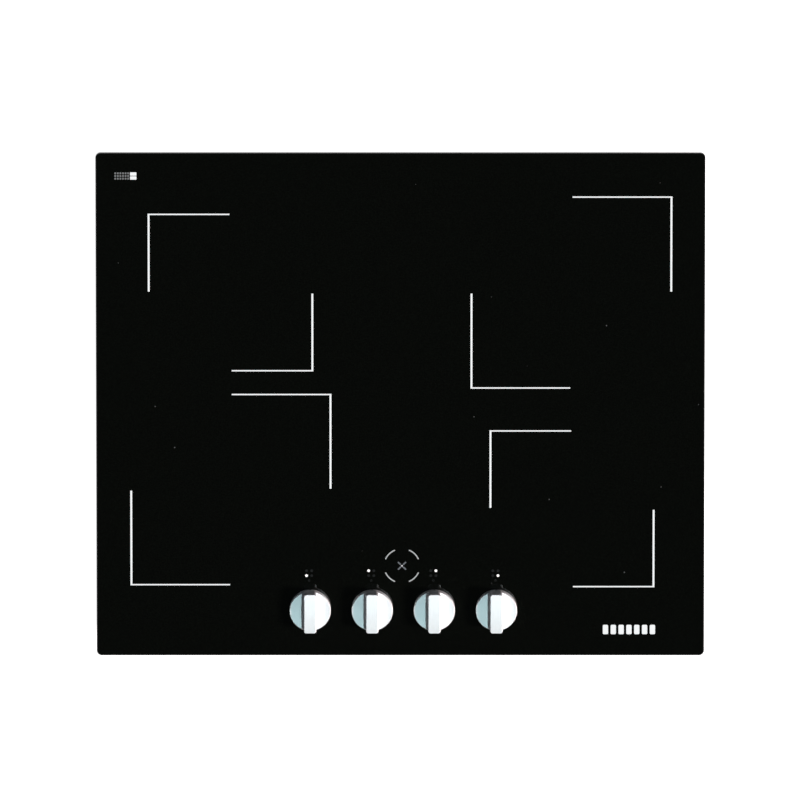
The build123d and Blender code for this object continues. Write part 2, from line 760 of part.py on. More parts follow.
def make_terminal_cover():
    """Flat cover whose barrel turns on its own two stub pins in the box's knuckles."""
    lip_back = REAR_WALL + BOX_LIP
    hinge_y = lip_back + HINGE_R
    cover_front = lip_back + 0.2
    barrel = (BOX_Z[0] + 7.3, BOX_Z[1] - 7.3)
    free_end = ACCESS_X[1] + 3
    plate = (HINGE_X + 2, free_end)
    with BuildPart() as cover:
        with BuildSketch(facing_front(cover_front + COVER_T)):
            with Locations((middle(plate), middle(BOX_Z))):
                RectangleRounded(span(plate), span(BOX_Z) - 1, 1)
            with Locations((HINGE_X + 2, middle(BOX_Z))):
                Rectangle(4, span(barrel))
        extrude(amount=COVER_T)
        with BuildSketch(level(barrel[0], HINGE_X, hinge_y)):
            Circle(HINGE_R - 0.1)
        extrude(amount=span(barrel))
        with BuildSketch(level(BOX_Z[0] + 2, HINGE_X, hinge_y)):
            Circle(HINGE_PIN_R)
        extrude(amount=span(BOX_Z) - 4)
        # Finger rib along the free edge
        with BuildSketch(facing_front(cover_front + COVER_T + 0.6)):
            with Locations((free_end - 3, middle(BOX_Z))):
                Rectangle(2, 18)
        extrude(amount=0.6)
    save(cover, "terminal_cover")


def make_terminal_block():
    """Five-way clamp block on the box's floor, and its clamp screws."""
    poles = [ACCESS_X[0] + BLOCK_WIDTH / 6 + POLE_PITCH * n for n in range(POLE_COUNT)]
    block_y = (REAR_WALL - 35, REAR_WALL - 15)
    floor = BOX_Z[0] + BOX_WALL
    block_top = floor + BLOCK_HEIGHT
    with BuildPart() as block:
        with BuildSketch(level(floor, middle((poles[0], poles[-1])), middle(block_y))):
            Rectangle(BLOCK_WIDTH, span(block_y))
        extrude(amount=BLOCK_HEIGHT)
        with BuildSketch(facing_front(block_y[1])):
            with Locations(*[(x, floor + 5) for x in poles]):
                Circle(WIRE_HOLE_R)
        extrude(amount=14, mode=Mode.SUBTRACT)
        with BuildSketch(level(block_top, 0, middle(block_y))):
            with Locations(*[(x, 0) for x in poles]):
                Circle(CLAMP_SCREW_R + 0.1)
        extrude(amount=-CLAMP_SCREW_DEPTH, mode=Mode.SUBTRACT)
    save(block, "terminal_block")
    with BuildPart() as clamp_screws:
        with BuildSketch(level(block_top - CLAMP_SCREW_DEPTH, 0, middle(block_y))):
            with Locations(*[(x, 0) for x in poles]):
                Circle(CLAMP_SCREW_R)
        extrude(amount=5)
        with BuildSketch(level(block_top - 1.8, 0, middle(block_y))):
            with Locations(*[(x, 0) for x in poles]):
                Rectangle(4.2, 0.8)
        extrude(amount=0.8, mode=Mode.SUBTRACT)
    save(clamp_screws, "terminal_screws")


def make_cable_gland():
    """Flanged bush for the mains lead, through the fixed part of the box's back."""
    lip_back = REAR_WALL + BOX_LIP
    with BuildPart() as gland:
        with BuildSketch(facing_front(lip_back + GLAND_FLANGE_T)):
            with Locations((GLAND_X, GLAND_Z)):
                Circle(GLAND_FLANGE_R)
        extrude(amount=GLAND_FLANGE_T)
        with BuildSketch(facing_front(lip_back)):
            with Locations((GLAND_X, GLAND_Z)):
                Circle(GLAND_BODY_R - RUNNING_GAP)
        extrude(amount=GLAND_LENGTH)
        with BuildSketch(facing_front(lip_back + GLAND_FLANGE_T)):
            with Locations((GLAND_X, GLAND_Z)):
                Circle(GLAND_BORE_R)
        extrude(amount=GLAND_LENGTH + GLAND_FLANGE_T, mode=Mode.SUBTRACT)
    save(gland, "cable_gland")


# ---------------------------------------------------------------- controls


def control_outline(margin):
    """The T-shaped outline of the control board, grown by margin. Used inside a sketch."""
    stem_end = INDICATOR_Y + CONTROL_STEM_REACH
    with Locations((CONTROLS_X, KNOB_Y)):
        Rectangle(CONTROL_BOARD_WIDTH + 2 * margin, CONTROL_BOARD_DEPTH + 2 * margin)
    with Locations((INDICATOR_X, (KNOB_Y + stem_end) / 2)):
        Rectangle(CONTROL_STEM_WIDTH + 2 * margin, stem_end - KNOB_Y + 2 * margin)


def make_control_board():
    with BuildPart() as board:
        with BuildSketch(level(CONTROL_BOARD_BOTTOM)):
            control_outline(0)
        extrude(amount=BOARD_T)
    save(board, "control_board")


def make_control_carrier():
    """Plastic shelf on six legs, its raised edge holding the control board clear of the shelf."""
    shelf_bottom = CONTROL_BOARD_BOTTOM - CARRIER_T
    legs = [(-118, -222), (-118, -192), (118, -222), (118, -192), (-26, -154), (26, -154)]
    with BuildPart() as carrier:
        with BuildSketch(level(shelf_bottom)):
            control_outline(1.5)
        extrude(amount=CARRIER_T)
        with BuildSketch(level(shelf_bottom + CARRIER_T / 2)):
            control_outline(-2)
        extrude(amount=CARRIER_T / 2, mode=Mode.SUBTRACT)
        with BuildSketch(level(SHEET)):
            with Locations(*[(CONTROLS_X + x, y) for x, y in legs]):
                Circle(CARRIER_LEG_R)
        extrude(amount=shelf_bottom - SHEET)
    save(carrier, "control_carrier")


def make_encoders():
    """Four rotary switches on the control board, each with a round bush for its shaft."""
    with BuildPart() as encoders:
        for x in KNOB_X.values():
            with BuildSketch(level(CONTROL_BOARD_TOP, x, KNOB_Y)):
                RectangleRounded(SWITCH_WIDTH, SWITCH_WIDTH, 1)
            extrude(amount=ENCODER_TOP - CONTROL_BOARD_TOP)
            with BuildSketch(level(ENCODER_TOP, x, KNOB_Y)):
                Circle(BUSH_R)
            extrude(amount=BUSH_TOP - ENCODER_TOP)
            with BuildSketch(level(SWITCH_BORE_BOTTOM, x, KNOB_Y)):
                Circle(SHAFT_R + RUNNING_GAP)
            extrude(amount=BUSH_TOP - SWITCH_BORE_BOTTOM, mode=Mode.SUBTRACT)
    save(encoders, "rotary_switches")


def make_shaft_seals():
    """Silicone grommets in the glass, one round each knob shaft."""
    body_r = SHAFT_HOLE_R - RUNNING_GAP
    under = GLASS_BOTTOM - GROMMET_UNDER_T
    with BuildPart() as seals:
        for x in KNOB_X.values():
            with BuildSketch(level(under, x, KNOB_Y)):
                Circle(GROMMET_UNDER_R)
            extrude(amount=GROMMET_UNDER_T)
            with BuildSketch(level(GLASS_BOTTOM, x, KNOB_Y)):
                Circle(body_r)
            extrude(amount=GLASS_THICKNESS)
            with BuildSketch(level(GLASS_TOP, x, KNOB_Y)):
                Circle(GROMMET_TOP_R)
            extrude(amount=GROMMET_TOP_T)
            with BuildSketch(level(under, x, KNOB_Y)):
                Circle(SHAFT_R + 0.3)
            extrude(amount=GLASS_TOP + GROMMET_TOP_T - under, mode=Mode.SUBTRACT)
    save(seals, "shaft_seals")


def make_shaft(zone):
    """Round control shaft with a flat near its top for the knob."""
    foot = SWITCH_BORE_BOTTOM + 0.5
    with BuildPart() as shaft:
        with BuildSketch(level(foot, KNOB_X[zone], KNOB_Y)):
            Circle(SHAFT_R)
        extrude(amount=SHAFT_TOP - foot)
        with BuildSketch(level(SHAFT_FLAT_BOTTOM, KNOB_X[zone], KNOB_Y)):
            with Locations((SHAFT_R, 0)):
                Rectangle(2 * SHAFT_FLAT_DEPTH, 2 * SHAFT_R)
        extrude(amount=SHAFT_TOP - SHAFT_FLAT_BOTTOM, mode=Mode.SUBTRACT)
    save(shaft, f"knob_shaft_{zone}")


def make_knob(zone):
    """Dished metal disc with a slightly arched grip bar across it, bored with a flat for its shaft."""
    x = KNOB_X[zone]
    bore_r = SHAFT_R + 0.02
    flat_x = SHAFT_R - SHAFT_FLAT_DEPTH + 0.02
    flat_bottom = SHAFT_FLAT_BOTTOM
    bore_top = SHAFT_TOP + 0.5
    grip_foot = KNOB_DISC_MIDDLE - 1.5
    grip_end = KNOB_GRIP_LENGTH / 2
    end_top = KNOB_GRIP_TOP - KNOB_GRIP_CROWN
    with BuildPart() as knob:
        with BuildSketch(Plane(origin=(x, KNOB_Y, 0), x_dir=(1, 0, 0), z_dir=(0, -1, 0))):
            with BuildLine():
                Polyline(
                    (0, KNOB_DISC_MIDDLE),
                    (0, KNOB_BOTTOM),
                    (KNOB_R, KNOB_BOTTOM),
                    (KNOB_R, KNOB_DISC_EDGE - KNOB_RIM_BEVEL),
                    (KNOB_R - KNOB_RIM_BEVEL, KNOB_DISC_EDGE),
                )
                ThreePointArc(
                    (KNOB_R - KNOB_RIM_BEVEL, KNOB_DISC_EDGE),
                    (KNOB_R / 2, KNOB_DISC_MIDDLE + (KNOB_DISC_EDGE - KNOB_DISC_MIDDLE) / 4),
                    (0, KNOB_DISC_MIDDLE),
                )
            make_face()
        revolve(axis=Axis((x, KNOB_Y, 0), (0, 0, 1)))
        with BuildPart() as grip:
            with BuildSketch(level(grip_foot, x, KNOB_Y)):
                RectangleRounded(KNOB_GRIP_WIDTH, KNOB_GRIP_LENGTH, KNOB_GRIP_CORNER_R)
            extrude(amount=KNOB_GRIP_TOP - grip_foot)
            with BuildSketch(Plane(origin=(x, KNOB_Y, 0), x_dir=(0, 1, 0), z_dir=(1, 0, 0))):
                with BuildLine():
                    Polyline(
                        (grip_end, end_top),
                        (grip_end, grip_foot),
                        (-grip_end, grip_foot),
                        (-grip_end, end_top),
                    )
                    ThreePointArc((-grip_end, end_top), (0, KNOB_GRIP_TOP), (grip_end, end_top))
                make_face()
            extrude(amount=KNOB_GRIP_WIDTH / 2, both=True, mode=Mode.INTERSECT)
            grip_top = grip.faces().sort_by(Axis.Z)[-1]
            fillet(grip_top.edges(), KNOB_GRIP_EDGE_R)
        # Index notch in the rim, behind the grip
        with BuildSketch(level(KNOB_BOTTOM, x, KNOB_Y + KNOB_R)):
            Rectangle(1.2, 1.2)
        extrude(amount=KNOB_DISC_EDGE - KNOB_BOTTOM, mode=Mode.SUBTRACT)
        # Hollow skirt round a hub, and the bore for the shaft
        with BuildSketch(level(KNOB_BOTTOM, x, KNOB_Y)):
            Circle(KNOB_R - KNOB_SKIRT_WALL)
            Circle(KNOB_HUB_R, mode=Mode.SUBTRACT)
        extrude(amount=KNOB_HOLLOW, mode=Mode.SUBTRACT)
        with BuildSketch(level(KNOB_BOTTOM, x, KNOB_Y)):
            Circle(bore_r)
        extrude(amount=flat_bottom - KNOB_BOTTOM, mode=Mode.SUBTRACT)
        with BuildSketch(level(flat_bottom, x, KNOB_Y)):
            Circle(bore_r)
            with Locations((flat_x + SHAFT_R, 0)):
                Rectangle(2 * SHAFT_R, 3 * SHAFT_R, mode=Mode.SUBTRACT)
        extrude(amount=bore_top - flat_bottom, mode=Mode.SUBTRACT)
    save(knob, f"knob_{zone}")


def make_indicator():
    """Light guide of four rods up to the glass, and the four lamps below them."""
    with BuildPart() as guide:
        with BuildSketch(level(GUIDE_Z, INDICATOR_X, INDICATOR_Y)):
            RectangleRounded(30, 18, 2)
        extrude(amount=2)
        with BuildSketch(level(CONTROL_BOARD_TOP + 3, INDICATOR_X, INDICATOR_Y)):
            with GridLocations(2 * LAMP_SPREAD, 2 * LAMP_SPREAD, 2, 2):
                Circle(GUIDE_ROD_R)
        extrude(amount=GLASS_BOTTOM - CONTROL_BOARD_TOP - 3)
        with BuildSketch(level(CONTROL_BOARD_TOP, INDICATOR_X, INDICATOR_Y)):
            with GridLocations(25, 0, 2, 1):
                Circle(GUIDE_LEG_R)
        extrude(amount=GUIDE_Z - CONTROL_BOARD_TOP)
    save(guide, "indicator_light_guide")
    with BuildPart() as lamps:
        with BuildSketch(level(CONTROL_BOARD_TOP, INDICATOR_X, INDICATOR_Y)):
            with GridLocations(2 * LAMP_SPREAD, 2 * LAMP_SPREAD, 2, 2):
                Rectangle(3.2, 2.8)
        extrude(amount=LAMP_HEIGHT)
    save(lamps, "indicator_lamps")


os.makedirs("parts", exist_ok=True)
make_glass()
make_seal()
make_frame()
make_tray()
make_casing_screws()
make_mounting_springs()
make_support_posts()
make_ferrites()
make_coil_leads()
make_filter()
make_terminal_box()
make_terminal_cover()
make_terminal_block()
make_cable_gland()
make_control_board()
make_control_carrier()
make_encoders()
make_shaft_seals()
make_indicator()
for side in SIDES:
    make_coil_plate(side)
    make_power_board(side)
    make_heatsink(side)
    make_power_modules(side)
    make_capacitors(side)
    make_fan_housing(side)
    make_impeller(side)
for zone in ZONES:
    make_coil_former(zone)
    make_winding(zone)
    make_mica(zone)
    make_sensor(zone)
    make_shaft(zone)
    make_knob(zone)
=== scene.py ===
from math import ceil, cos, pi, radians, sin, tau

import bmesh
import bpy
from bpy.props import FloatProperty, FloatVectorProperty, IntProperty, PointerProperty
from bpy.types import Operator, Panel, PropertyGroup
from mathutils import Matrix, Vector


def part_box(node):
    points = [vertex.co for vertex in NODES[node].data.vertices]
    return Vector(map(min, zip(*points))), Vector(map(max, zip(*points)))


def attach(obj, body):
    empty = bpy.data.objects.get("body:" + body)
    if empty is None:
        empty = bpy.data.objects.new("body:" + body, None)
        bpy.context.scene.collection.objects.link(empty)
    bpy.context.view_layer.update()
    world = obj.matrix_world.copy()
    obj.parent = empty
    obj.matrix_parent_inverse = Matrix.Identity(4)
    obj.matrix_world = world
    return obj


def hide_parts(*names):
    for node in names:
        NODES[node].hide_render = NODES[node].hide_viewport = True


bl_info = {
    "name": "Induction Cooktop",
    "version": (1, 0, 0),
    "blender": (4, 5, 0),
    "location": "View3D > Sidebar > Cooktop",
    "description": "Dresses an induction cooktop: glass, printed marks, knobs, casing, coils and stage",
    "category": "Object",
}

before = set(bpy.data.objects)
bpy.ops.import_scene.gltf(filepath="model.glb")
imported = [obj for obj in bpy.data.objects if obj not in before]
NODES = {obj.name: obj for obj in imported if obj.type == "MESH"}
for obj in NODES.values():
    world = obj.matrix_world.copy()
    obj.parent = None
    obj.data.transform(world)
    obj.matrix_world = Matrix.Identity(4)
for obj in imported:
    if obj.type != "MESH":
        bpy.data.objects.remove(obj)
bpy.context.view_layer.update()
MM = 0.001
MAIN_BODY = "cooktop"

GLASS_LOW, GLASS_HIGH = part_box("glass_plate")
GLASS_Z = GLASS_HIGH.z
ZONES = ("front_left", "rear_left", "rear_right", "front_right")
SIDES = ("left", "right")


def middle_of(name):
    low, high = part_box(name)
    return (low + high) / 2


def coil_radius(zone):
    low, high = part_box(f"coil_winding_{zone}")
    return (high.x - low.x) / 2


# ---------------------------------------------------------------------- sizes and colours


def length(name, description, default):
    return FloatProperty(
        name=name, description=description, default=default, unit="LENGTH", precision=5, min=0
    )


def angle(name, description, degrees):
    return FloatProperty(name=name, description=description, default=radians(degrees), subtype="ANGLE")


def colour(name, description, default):
    return FloatVectorProperty(
        name=name, description=description, default=default, subtype="COLOR", size=3, min=0, max=1
    )


class CooktopGlassSettings(PropertyGroup):
    tint: colour("Glass colour", "Body colour of the glass-ceramic", (0.0013, 0.0017, 0.0013))
    dust: FloatProperty(
        name="Dust", description="How bright the fine dust on the glass is", default=0.05, min=0, max=1,
        subtype="FACTOR",
    )


class CooktopPrintSettings(PropertyGroup):
    ink: colour("Ink", "Colour of the white ceramic print", (0.80, 0.86, 0.87))
    faint_ink: colour("Faint ink", "Colour of the dark grey ceramic print", (0.0046, 0.0048, 0.0050))
    upright_line: length("Upright line", "Width of the zone marks' legs that run front to back", 1.85 * MM)
    level_line: length("Level line", "Width of the zone marks' legs that run side to side", 1.35 * MM)
    thickness: length("Print thickness", "How far the print stands above the glass", 0.06 * MM)
    zone_margin: length("Zone margin", "Gap between a coil's edge and its zone marks", 7.2 * MM)
    leg_gap: length("Leg gap", "How far a mark's leg ends before the zone's centre line", 1.0 * MM)
    ring: length("Indicator ring", "Outer diameter of the indicator's broken ring", 35.8 * MM)
    ring_line: length("Indicator line", "Width of the ring's line", 1.15 * MM)
    dot: length("Zone dot", "Diameter of a dot in a knob's zone diagram", 2.7 * MM)
    dot_pitch: length("Dot pitch", "Distance between the dots of a zone diagram", 5.0 * MM)


class CooktopKnobSettings(PropertyGroup):
    metal: colour("Knob metal", "Colour of the turned aluminium", (0.90, 0.925, 0.94))
    roughness: FloatProperty(
        name="Knob roughness", description="How satin the knobs' metal is", default=0.63, min=0, max=1,
        subtype="FACTOR",
    )


class CooktopCoilSettings(PropertyGroup):
    wire: length("Wire", "Diameter of the stranded wire in the windings", 2.9 * MM)
    pitch: length("Pitch", "Distance from one turn of the winding to the next", 3.1 * MM)
    strands: IntProperty(name="Strands", description="Bundles seen round the wire", default=7, min=3)


class CooktopStageSettings(PropertyGroup):
    tilt: angle("Camera tilt", "Angle of the camera's line of sight from upright, towards the rear", 17.3)
    distance: length("Camera distance", "From the camera to the glass", 30.0)
    view_width: length("View width", "What the camera takes in at the glass", 0.7754)
    aim_offset: length("Aim offset", "How far behind the glass's middle the camera aims", 5.1 * MM)
    floor: length("Floor radius", "Radius of the round floor", 70.0)
    floor_colour: colour("Floor colour", "Colour of the plain floor", (0.55, 0.55, 0.55))
    key: FloatProperty(name="Key light", description="Strength of the high light on the right", default=1.06)
    side: FloatProperty(name="Side light", description="Strength of the low light on the right", default=4.55)


SETTINGS = {
    "cooktop_glass": CooktopGlassSettings,
    "cooktop_print": CooktopPrintSettings,
    "cooktop_knobs": CooktopKnobSettings,
    "cooktop_coils": CooktopCoilSettings,
    "cooktop_stage": CooktopStageSettings,
}

# ---------------------------------------------------------------------- shader helpers


def add(tree, kind, sockets=None, **settings):
    """Adds a node. A socket takes a constant or another node's output."""
    made = tree.nodes.new(kind)
    for name, value in settings.items():
        setattr(made, name, value)
    for name, value in (sockets or {}).items():
        if isinstance(value, bpy.types.NodeSocket):
            tree.links.new(value, made.inputs[name])
        else:
            made.inputs[name].default_value = value
    return made


def new_material(name, **sockets):
    """An empty material with one Principled shader, whose constant sockets are set here."""
    material = bpy.data.materials.new(name)
    material.use_nodes = True
    tree = material.node_tree
    shader = tree.nodes["Principled BSDF"]
    for label, value in sockets.items():
        shader.inputs[label.replace("_", " ")].default_value = value
    return material, tree, shader


def place(tree, scale=(1, 1, 1)):
    """The object's own coordinates in metres, stretched by scale."""
    coordinates = add(tree, "ShaderNodeTexCoord").outputs["Object"]
    return add(tree, "ShaderNodeMapping", {"Vector": coordinates, "Scale": scale}).outputs["Vector"]


def noise(tree, vector, scale, detail=4.0, roughness=0.55):
    sockets = {"Vector": vector, "Scale": scale, "Detail": detail, "Roughness": roughness}
    return add(tree, "ShaderNodeTexNoise", sockets).outputs["Fac"]


def between(tree, value, low, high, start=0.0, end=1.0):
    """Maps value from start..end to low..high, clamped."""
    sockets = {"Value": value, "From Min": start, "From Max": end, "To Min": low, "To Max": high}
    return add(tree, "ShaderNodeMapRange", sockets).outputs["Result"]


def mixed(tree, factor, first, second):
    """A colour between two colours, each a constant or an output."""
    made = add(tree, "ShaderNodeMix", data_type="RGBA")
    for socket, value in ((0, factor), (6, first), (7, second)):
        if isinstance(value, bpy.types.NodeSocket):
            tree.links.new(value, made.inputs[socket])
        elif socket:
            made.inputs[socket].default_value = (*value[:3], 1)
        else:
            made.inputs[socket].default_value = value
    return made.outputs[2]


def maths(tree, operation, first, second=0.0):
    made = add(tree, "ShaderNodeMath", operation=operation)
    for socket, value in enumerate((first, second)):
        if isinstance(value, bpy.types.NodeSocket):
            tree.links.new(value, made.inputs[socket])
        else:
            made.inputs[socket].default_value = value
    return made.outputs[0]


def dent(tree, shader, height, depth, strength=1.0):
    """Bumps the shader's surface by height, 0 to 1, over a depth in metres."""
    bump = add(tree, "ShaderNodeBump", {"Height": height, "Distance": depth, "Strength": strength})
    tree.links.new(bump.outputs["Normal"], shader.inputs["Normal"])


def wire_up(tree, shader, **outputs):
    for label, output in outputs.items():
        tree.links.new(output, shader.inputs[label.replace("_", " ")])


def shade(colour_value, factor):
    return tuple(min(1.0, part * factor) for part in colour_value)


# ---------------------------------------------------------------------- finishes

# Noise rarely leaves this part of 0 to 1, so it is stretched from here to the full range
NOISE_RANGE = (0.3, 0.7)


def grained(name, tone, rough, scale, depth, spread=0.12, stretch=(1, 1, 1), **sockets):
    """Any evenly grained surface: colour, roughness and height all follow one fine noise."""
    material, tree, shader = new_material(name, **sockets)
    where = place(tree, stretch)
    fine = noise(tree, where, scale)
    broad = noise(tree, place(tree), scale / 40, 2.0)
    blend = maths(tree, "ADD", maths(tree, "MULTIPLY", fine, 0.6), maths(tree, "MULTIPLY", broad, 0.4))
    amount = between(tree, blend, 0, 1, *NOISE_RANGE)
    tint = mixed(tree, amount, shade(tone, 1 - spread), shade(tone, 1 + spread))
    patchy = between(tree, blend, rough - 0.07, rough + 0.07, *NOISE_RANGE)
    wire_up(tree, shader, Base_Color=tint, Roughness=patchy)
    dent(tree, shader, fine, depth)
    return material


def moulded(name, tone, rough=0.5):
    """Injection-moulded plastic with a fine spark-eroded grain."""
    return grained(name, tone, rough, 2600, 0.02 * MM, spread=0.08)


def brushed(name, tone, rough=0.3, stretch=(8, 8, 400)):
    """Metal brushed along the direction that has the smallest stretch."""
    return grained(
        name, tone, rough, 6, 0.006 * MM, spread=0.06, stretch=stretch, Metallic=1.0, Anisotropic=0.5
    )


def rubbery(name, tone, rough=0.75):
    return grained(name, tone, rough, 1500, 0.03 * MM, spread=0.2, Sheen_Weight=0.1)


def galvanised(name, tone):
    """Zinc-coated sheet: crystals of slightly different grey and roughness, and faint rolling lines."""
    material, tree, shader = new_material(name, Metallic=1.0)
    where = place(tree)
    wobble = add(tree, "ShaderNodeTexNoise", {"Vector": where, "Scale": 90.0, "Detail": 2.0}).outputs["Color"]
    moved = add(tree, "ShaderNodeVectorMath", {0: where}, operation="ADD")
    pushed = add(tree, "ShaderNodeVectorMath", {0: wobble}, operation="SCALE")
    pushed.inputs["Scale"].default_value = 6 * MM
    tree.links.new(pushed.outputs[0], moved.inputs[1])
    crystals = add(tree, "ShaderNodeTexVoronoi", {"Vector": moved.outputs[0], "Scale": 120.0})
    grey = add(tree, "ShaderNodeSeparateColor", {"Color": crystals.outputs["Color"]}).outputs["Red"]
    lines = noise(tree, place(tree, (12, 900, 900)), 1.0, 3.0)
    tint = mixed(tree, between(tree, grey, 0, 1), shade(tone, 0.90), shade(tone, 1.07))
    streaks = between(tree, lines, -0.04, 0.04, *NOISE_RANGE)
    rough = maths(tree, "ADD", between(tree, grey, 0.32, 0.44), streaks)
    wire_up(tree, shader, Base_Color=tint, Roughness=rough)
    dent(tree, shader, maths(tree, "ADD", grey, lines), 0.01 * MM, 0.5)
    return material


def laminate(name, tone):
    """Circuit board: solder resist over a net of raised copper tracks."""
    material, tree, shader = new_material(name, Coat_Weight=0.3, Coat_Roughness=0.2)
    tracks = add(
        tree,
        "ShaderNodeTexBrick",
        {
            "Vector": place(tree),
            "Scale": 60.0,
            "Mortar Size": 0.035,
            "Color1": (0, 0, 0, 1),
            "Color2": (0, 0, 0, 1),
            "Mortar": (1, 1, 1, 1),
        },
    ).outputs["Color"]
    weave = noise(tree, place(tree), 900, 2.0)
    fibre = mixed(tree, between(tree, weave, 0, 1, 0.35, 0.65), shade(tone, 0.85), shade(tone, 1.1))
    track = add(tree, "ShaderNodeSeparateColor", {"Color": tracks}).outputs["Red"]
    wire_up(
        tree,
        shader,
        Base_Color=mixed(tree, track, fibre, shade(tone, 1.7)),
        Roughness=between(tree, weave, 0.32, 0.45),
    )
    dent(tree, shader, track, 0.03 * MM)
    return material


def glass_ceramic(settings):
    """Polished black glass with faint wipe marks and a little fine dust, ground satin round the edge."""
    material, tree, shader = new_material("black_glass_ceramic", IOR=1.52, Specular_IOR_Level=0.35)
    where = place(tree)
    wipes = noise(tree, place(tree, (3, 9, 1)), 2.0, 3.0)
    grain = noise(tree, where, 900.0, 2.0)
    cells = add(tree, "ShaderNodeTexVoronoi", {"Vector": where, "Scale": 55.0, "Randomness": 1.0})
    size = add(tree, "ShaderNodeSeparateColor", {"Color": cells.outputs["Color"]}).outputs["Red"]
    speck_radius = between(tree, size, 0.0, 0.042, 0.66, 1.0)
    speck = maths(tree, "LESS_THAN", cells.outputs["Distance"], speck_radius)
    amount = between(tree, grain, 0, 1, 0.35, 0.75)
    body = mixed(tree, amount, shade(settings.tint, 0.7), shade(settings.tint, 1.9))
    speck_colour = (settings.dust,) * 3
    height = add(tree, "ShaderNodeSeparateXYZ", {"Vector": where}).outputs["Z"]
    edge = maths(tree, "LESS_THAN", height, GLASS_Z - 0.05 * MM)
    wiped = between(tree, wipes, 0.035, 0.07, *NOISE_RANGE)
    polish = maths(tree, "ADD", wiped, maths(tree, "MULTIPLY", speck, 0.5))
    wire_up(
        tree,
        shader,
        Base_Color=mixed(tree, speck, body, speck_colour),
        Roughness=maths(tree, "MAXIMUM", polish, maths(tree, "MULTIPLY", edge, 0.22)),
    )
    dent(tree, shader, speck, 0.01 * MM, 0.3)
    return material


def ceramic_print(name, tone, **sockets):
    """Fired ceramic ink with a slightly uneven, satin top."""
    return grained(name, tone, 0.5, 1800, 0.01 * MM, spread=0.05, **sockets)


def lit_lens(name, tone, glow):
    """A lamp behind its window in the print: a bright core, softer at the edge. On a printed dot, which has
    no lamp, the glow is painted light.
    """
    material, tree, shader = new_material(name, Roughness=0.35, Emission_Strength=glow)
    fine = noise(tree, place(tree), 1400)
    tint = mixed(tree, between(tree, fine, 0, 1, *NOISE_RANGE), shade(tone, 0.9), tone)
    wire_up(tree, shader, Base_Color=tint, Emission_Color=tint)
    return material


RINGS_PER_METRE = 2600.0
GRIP_START = 9 * MM  # above the glass; the disc is all below it


def turned_aluminium(settings):
    """Satin aluminium, turned in fine rings on a knob's disc and brushed lengthwise on its grip."""
    material, tree, shader = new_material("turned_aluminium", Metallic=1.0)
    knob_low, knob_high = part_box("knob_rear_left")
    next_low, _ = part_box("knob_rear_right")
    pitch = next_low.x - knob_low.x
    centre = (knob_low + knob_high) / 2
    parts = add(tree, "ShaderNodeSeparateXYZ", {"Vector": place(tree)}).outputs
    # Distance from the nearest knob's axis, the knobs being evenly spaced. Ten pitches more
    # keep the value above zero, and half a pitch puts each axis in the middle of its span.
    across = maths(tree, "ADD", parts["X"], (10 + 0.5) * pitch - centre.x)
    across = maths(tree, "SUBTRACT", maths(tree, "MODULO", across, pitch), pitch / 2)
    along = maths(tree, "SUBTRACT", parts["Y"], centre.y)
    across_squared = maths(tree, "MULTIPLY", across, across)
    along_squared = maths(tree, "MULTIPLY", along, along)
    radius = maths(tree, "SQRT", maths(tree, "ADD", across_squared, along_squared))
    stretched = maths(tree, "MULTIPLY", radius, RINGS_PER_METRE)
    ring_place = add(tree, "ShaderNodeCombineXYZ", {"X": stretched}).outputs[0]
    rings = noise(tree, ring_place, 1.0, 3.0, 0.7)
    brush = noise(tree, place(tree, (3000, 60, 3000)), 1.0, 3.0, 0.7)
    on_grip = maths(tree, "GREATER_THAN", parts["Z"], GLASS_Z + GRIP_START)
    marks = add(tree, "ShaderNodeMix", {0: on_grip, 2: rings, 3: brush}, data_type="FLOAT").outputs[0]
    cloud = noise(tree, place(tree), 160.0, 2.0)
    tone = settings.metal
    tint = mixed(tree, between(tree, marks, 0, 1, *NOISE_RANGE), shade(tone, 0.95), shade(tone, 1.03))
    base = settings.roughness
    rough = maths(
        tree,
        "ADD",
        between(tree, marks, base - 0.05, base + 0.05, *NOISE_RANGE),
        between(tree, cloud, -0.02, 0.02, *NOISE_RANGE),
    )
    wire_up(tree, shader, Base_Color=tint, Roughness=rough)
    dent(tree, shader, marks, 0.004 * MM, 0.6)
    return material


def litz(name, tone):
    """Stranded copper: fine diagonal strands, with painted highlights on their crowns and painted shade in
    the gaps between them.
    """
    material, tree, shader = new_material(name, Metallic=1.0)
    strands = add(
        tree,
        "ShaderNodeTexWave",
        {"Vector": place(tree), "Scale": 420.0, "Distortion": 6.0, "Detail": 2.0, "Detail Scale": 3.0},
        bands_direction="DIAGONAL",
    ).outputs["Fac"]
    # Painted shade darkens the gaps between the strands and a painted highlight lightens their crowns
    tint = mixed(tree, strands, shade(tone, 0.45), shade(tone, 1.15))
    wire_up(tree, shader, Base_Color=tint, Roughness=between(tree, strands, 0.5, 0.28))
    dent(tree, shader, strands, 0.08 * MM)
    return material


def mica(name, tone):
    """Pressed mica flakes, each a little lighter or darker, with a glint."""
    material, tree, shader = new_material(name, Coat_Weight=0.2)
    flakes = add(tree, "ShaderNodeTexVoronoi", {"Vector": place(tree, (1, 1, 0.2)), "Scale": 260.0})
    shade_of = add(tree, "ShaderNodeSeparateColor", {"Color": flakes.outputs["Color"]}).outputs["Green"]
    tint = mixed(tree, shade_of, shade(tone, 0.72), shade(tone, 1.2))
    wire_up(tree, shader, Base_Color=tint, Roughness=between(tree, shade_of, 0.28, 0.6))
    dent(tree, shader, shade_of, 0.02 * MM)
    return material


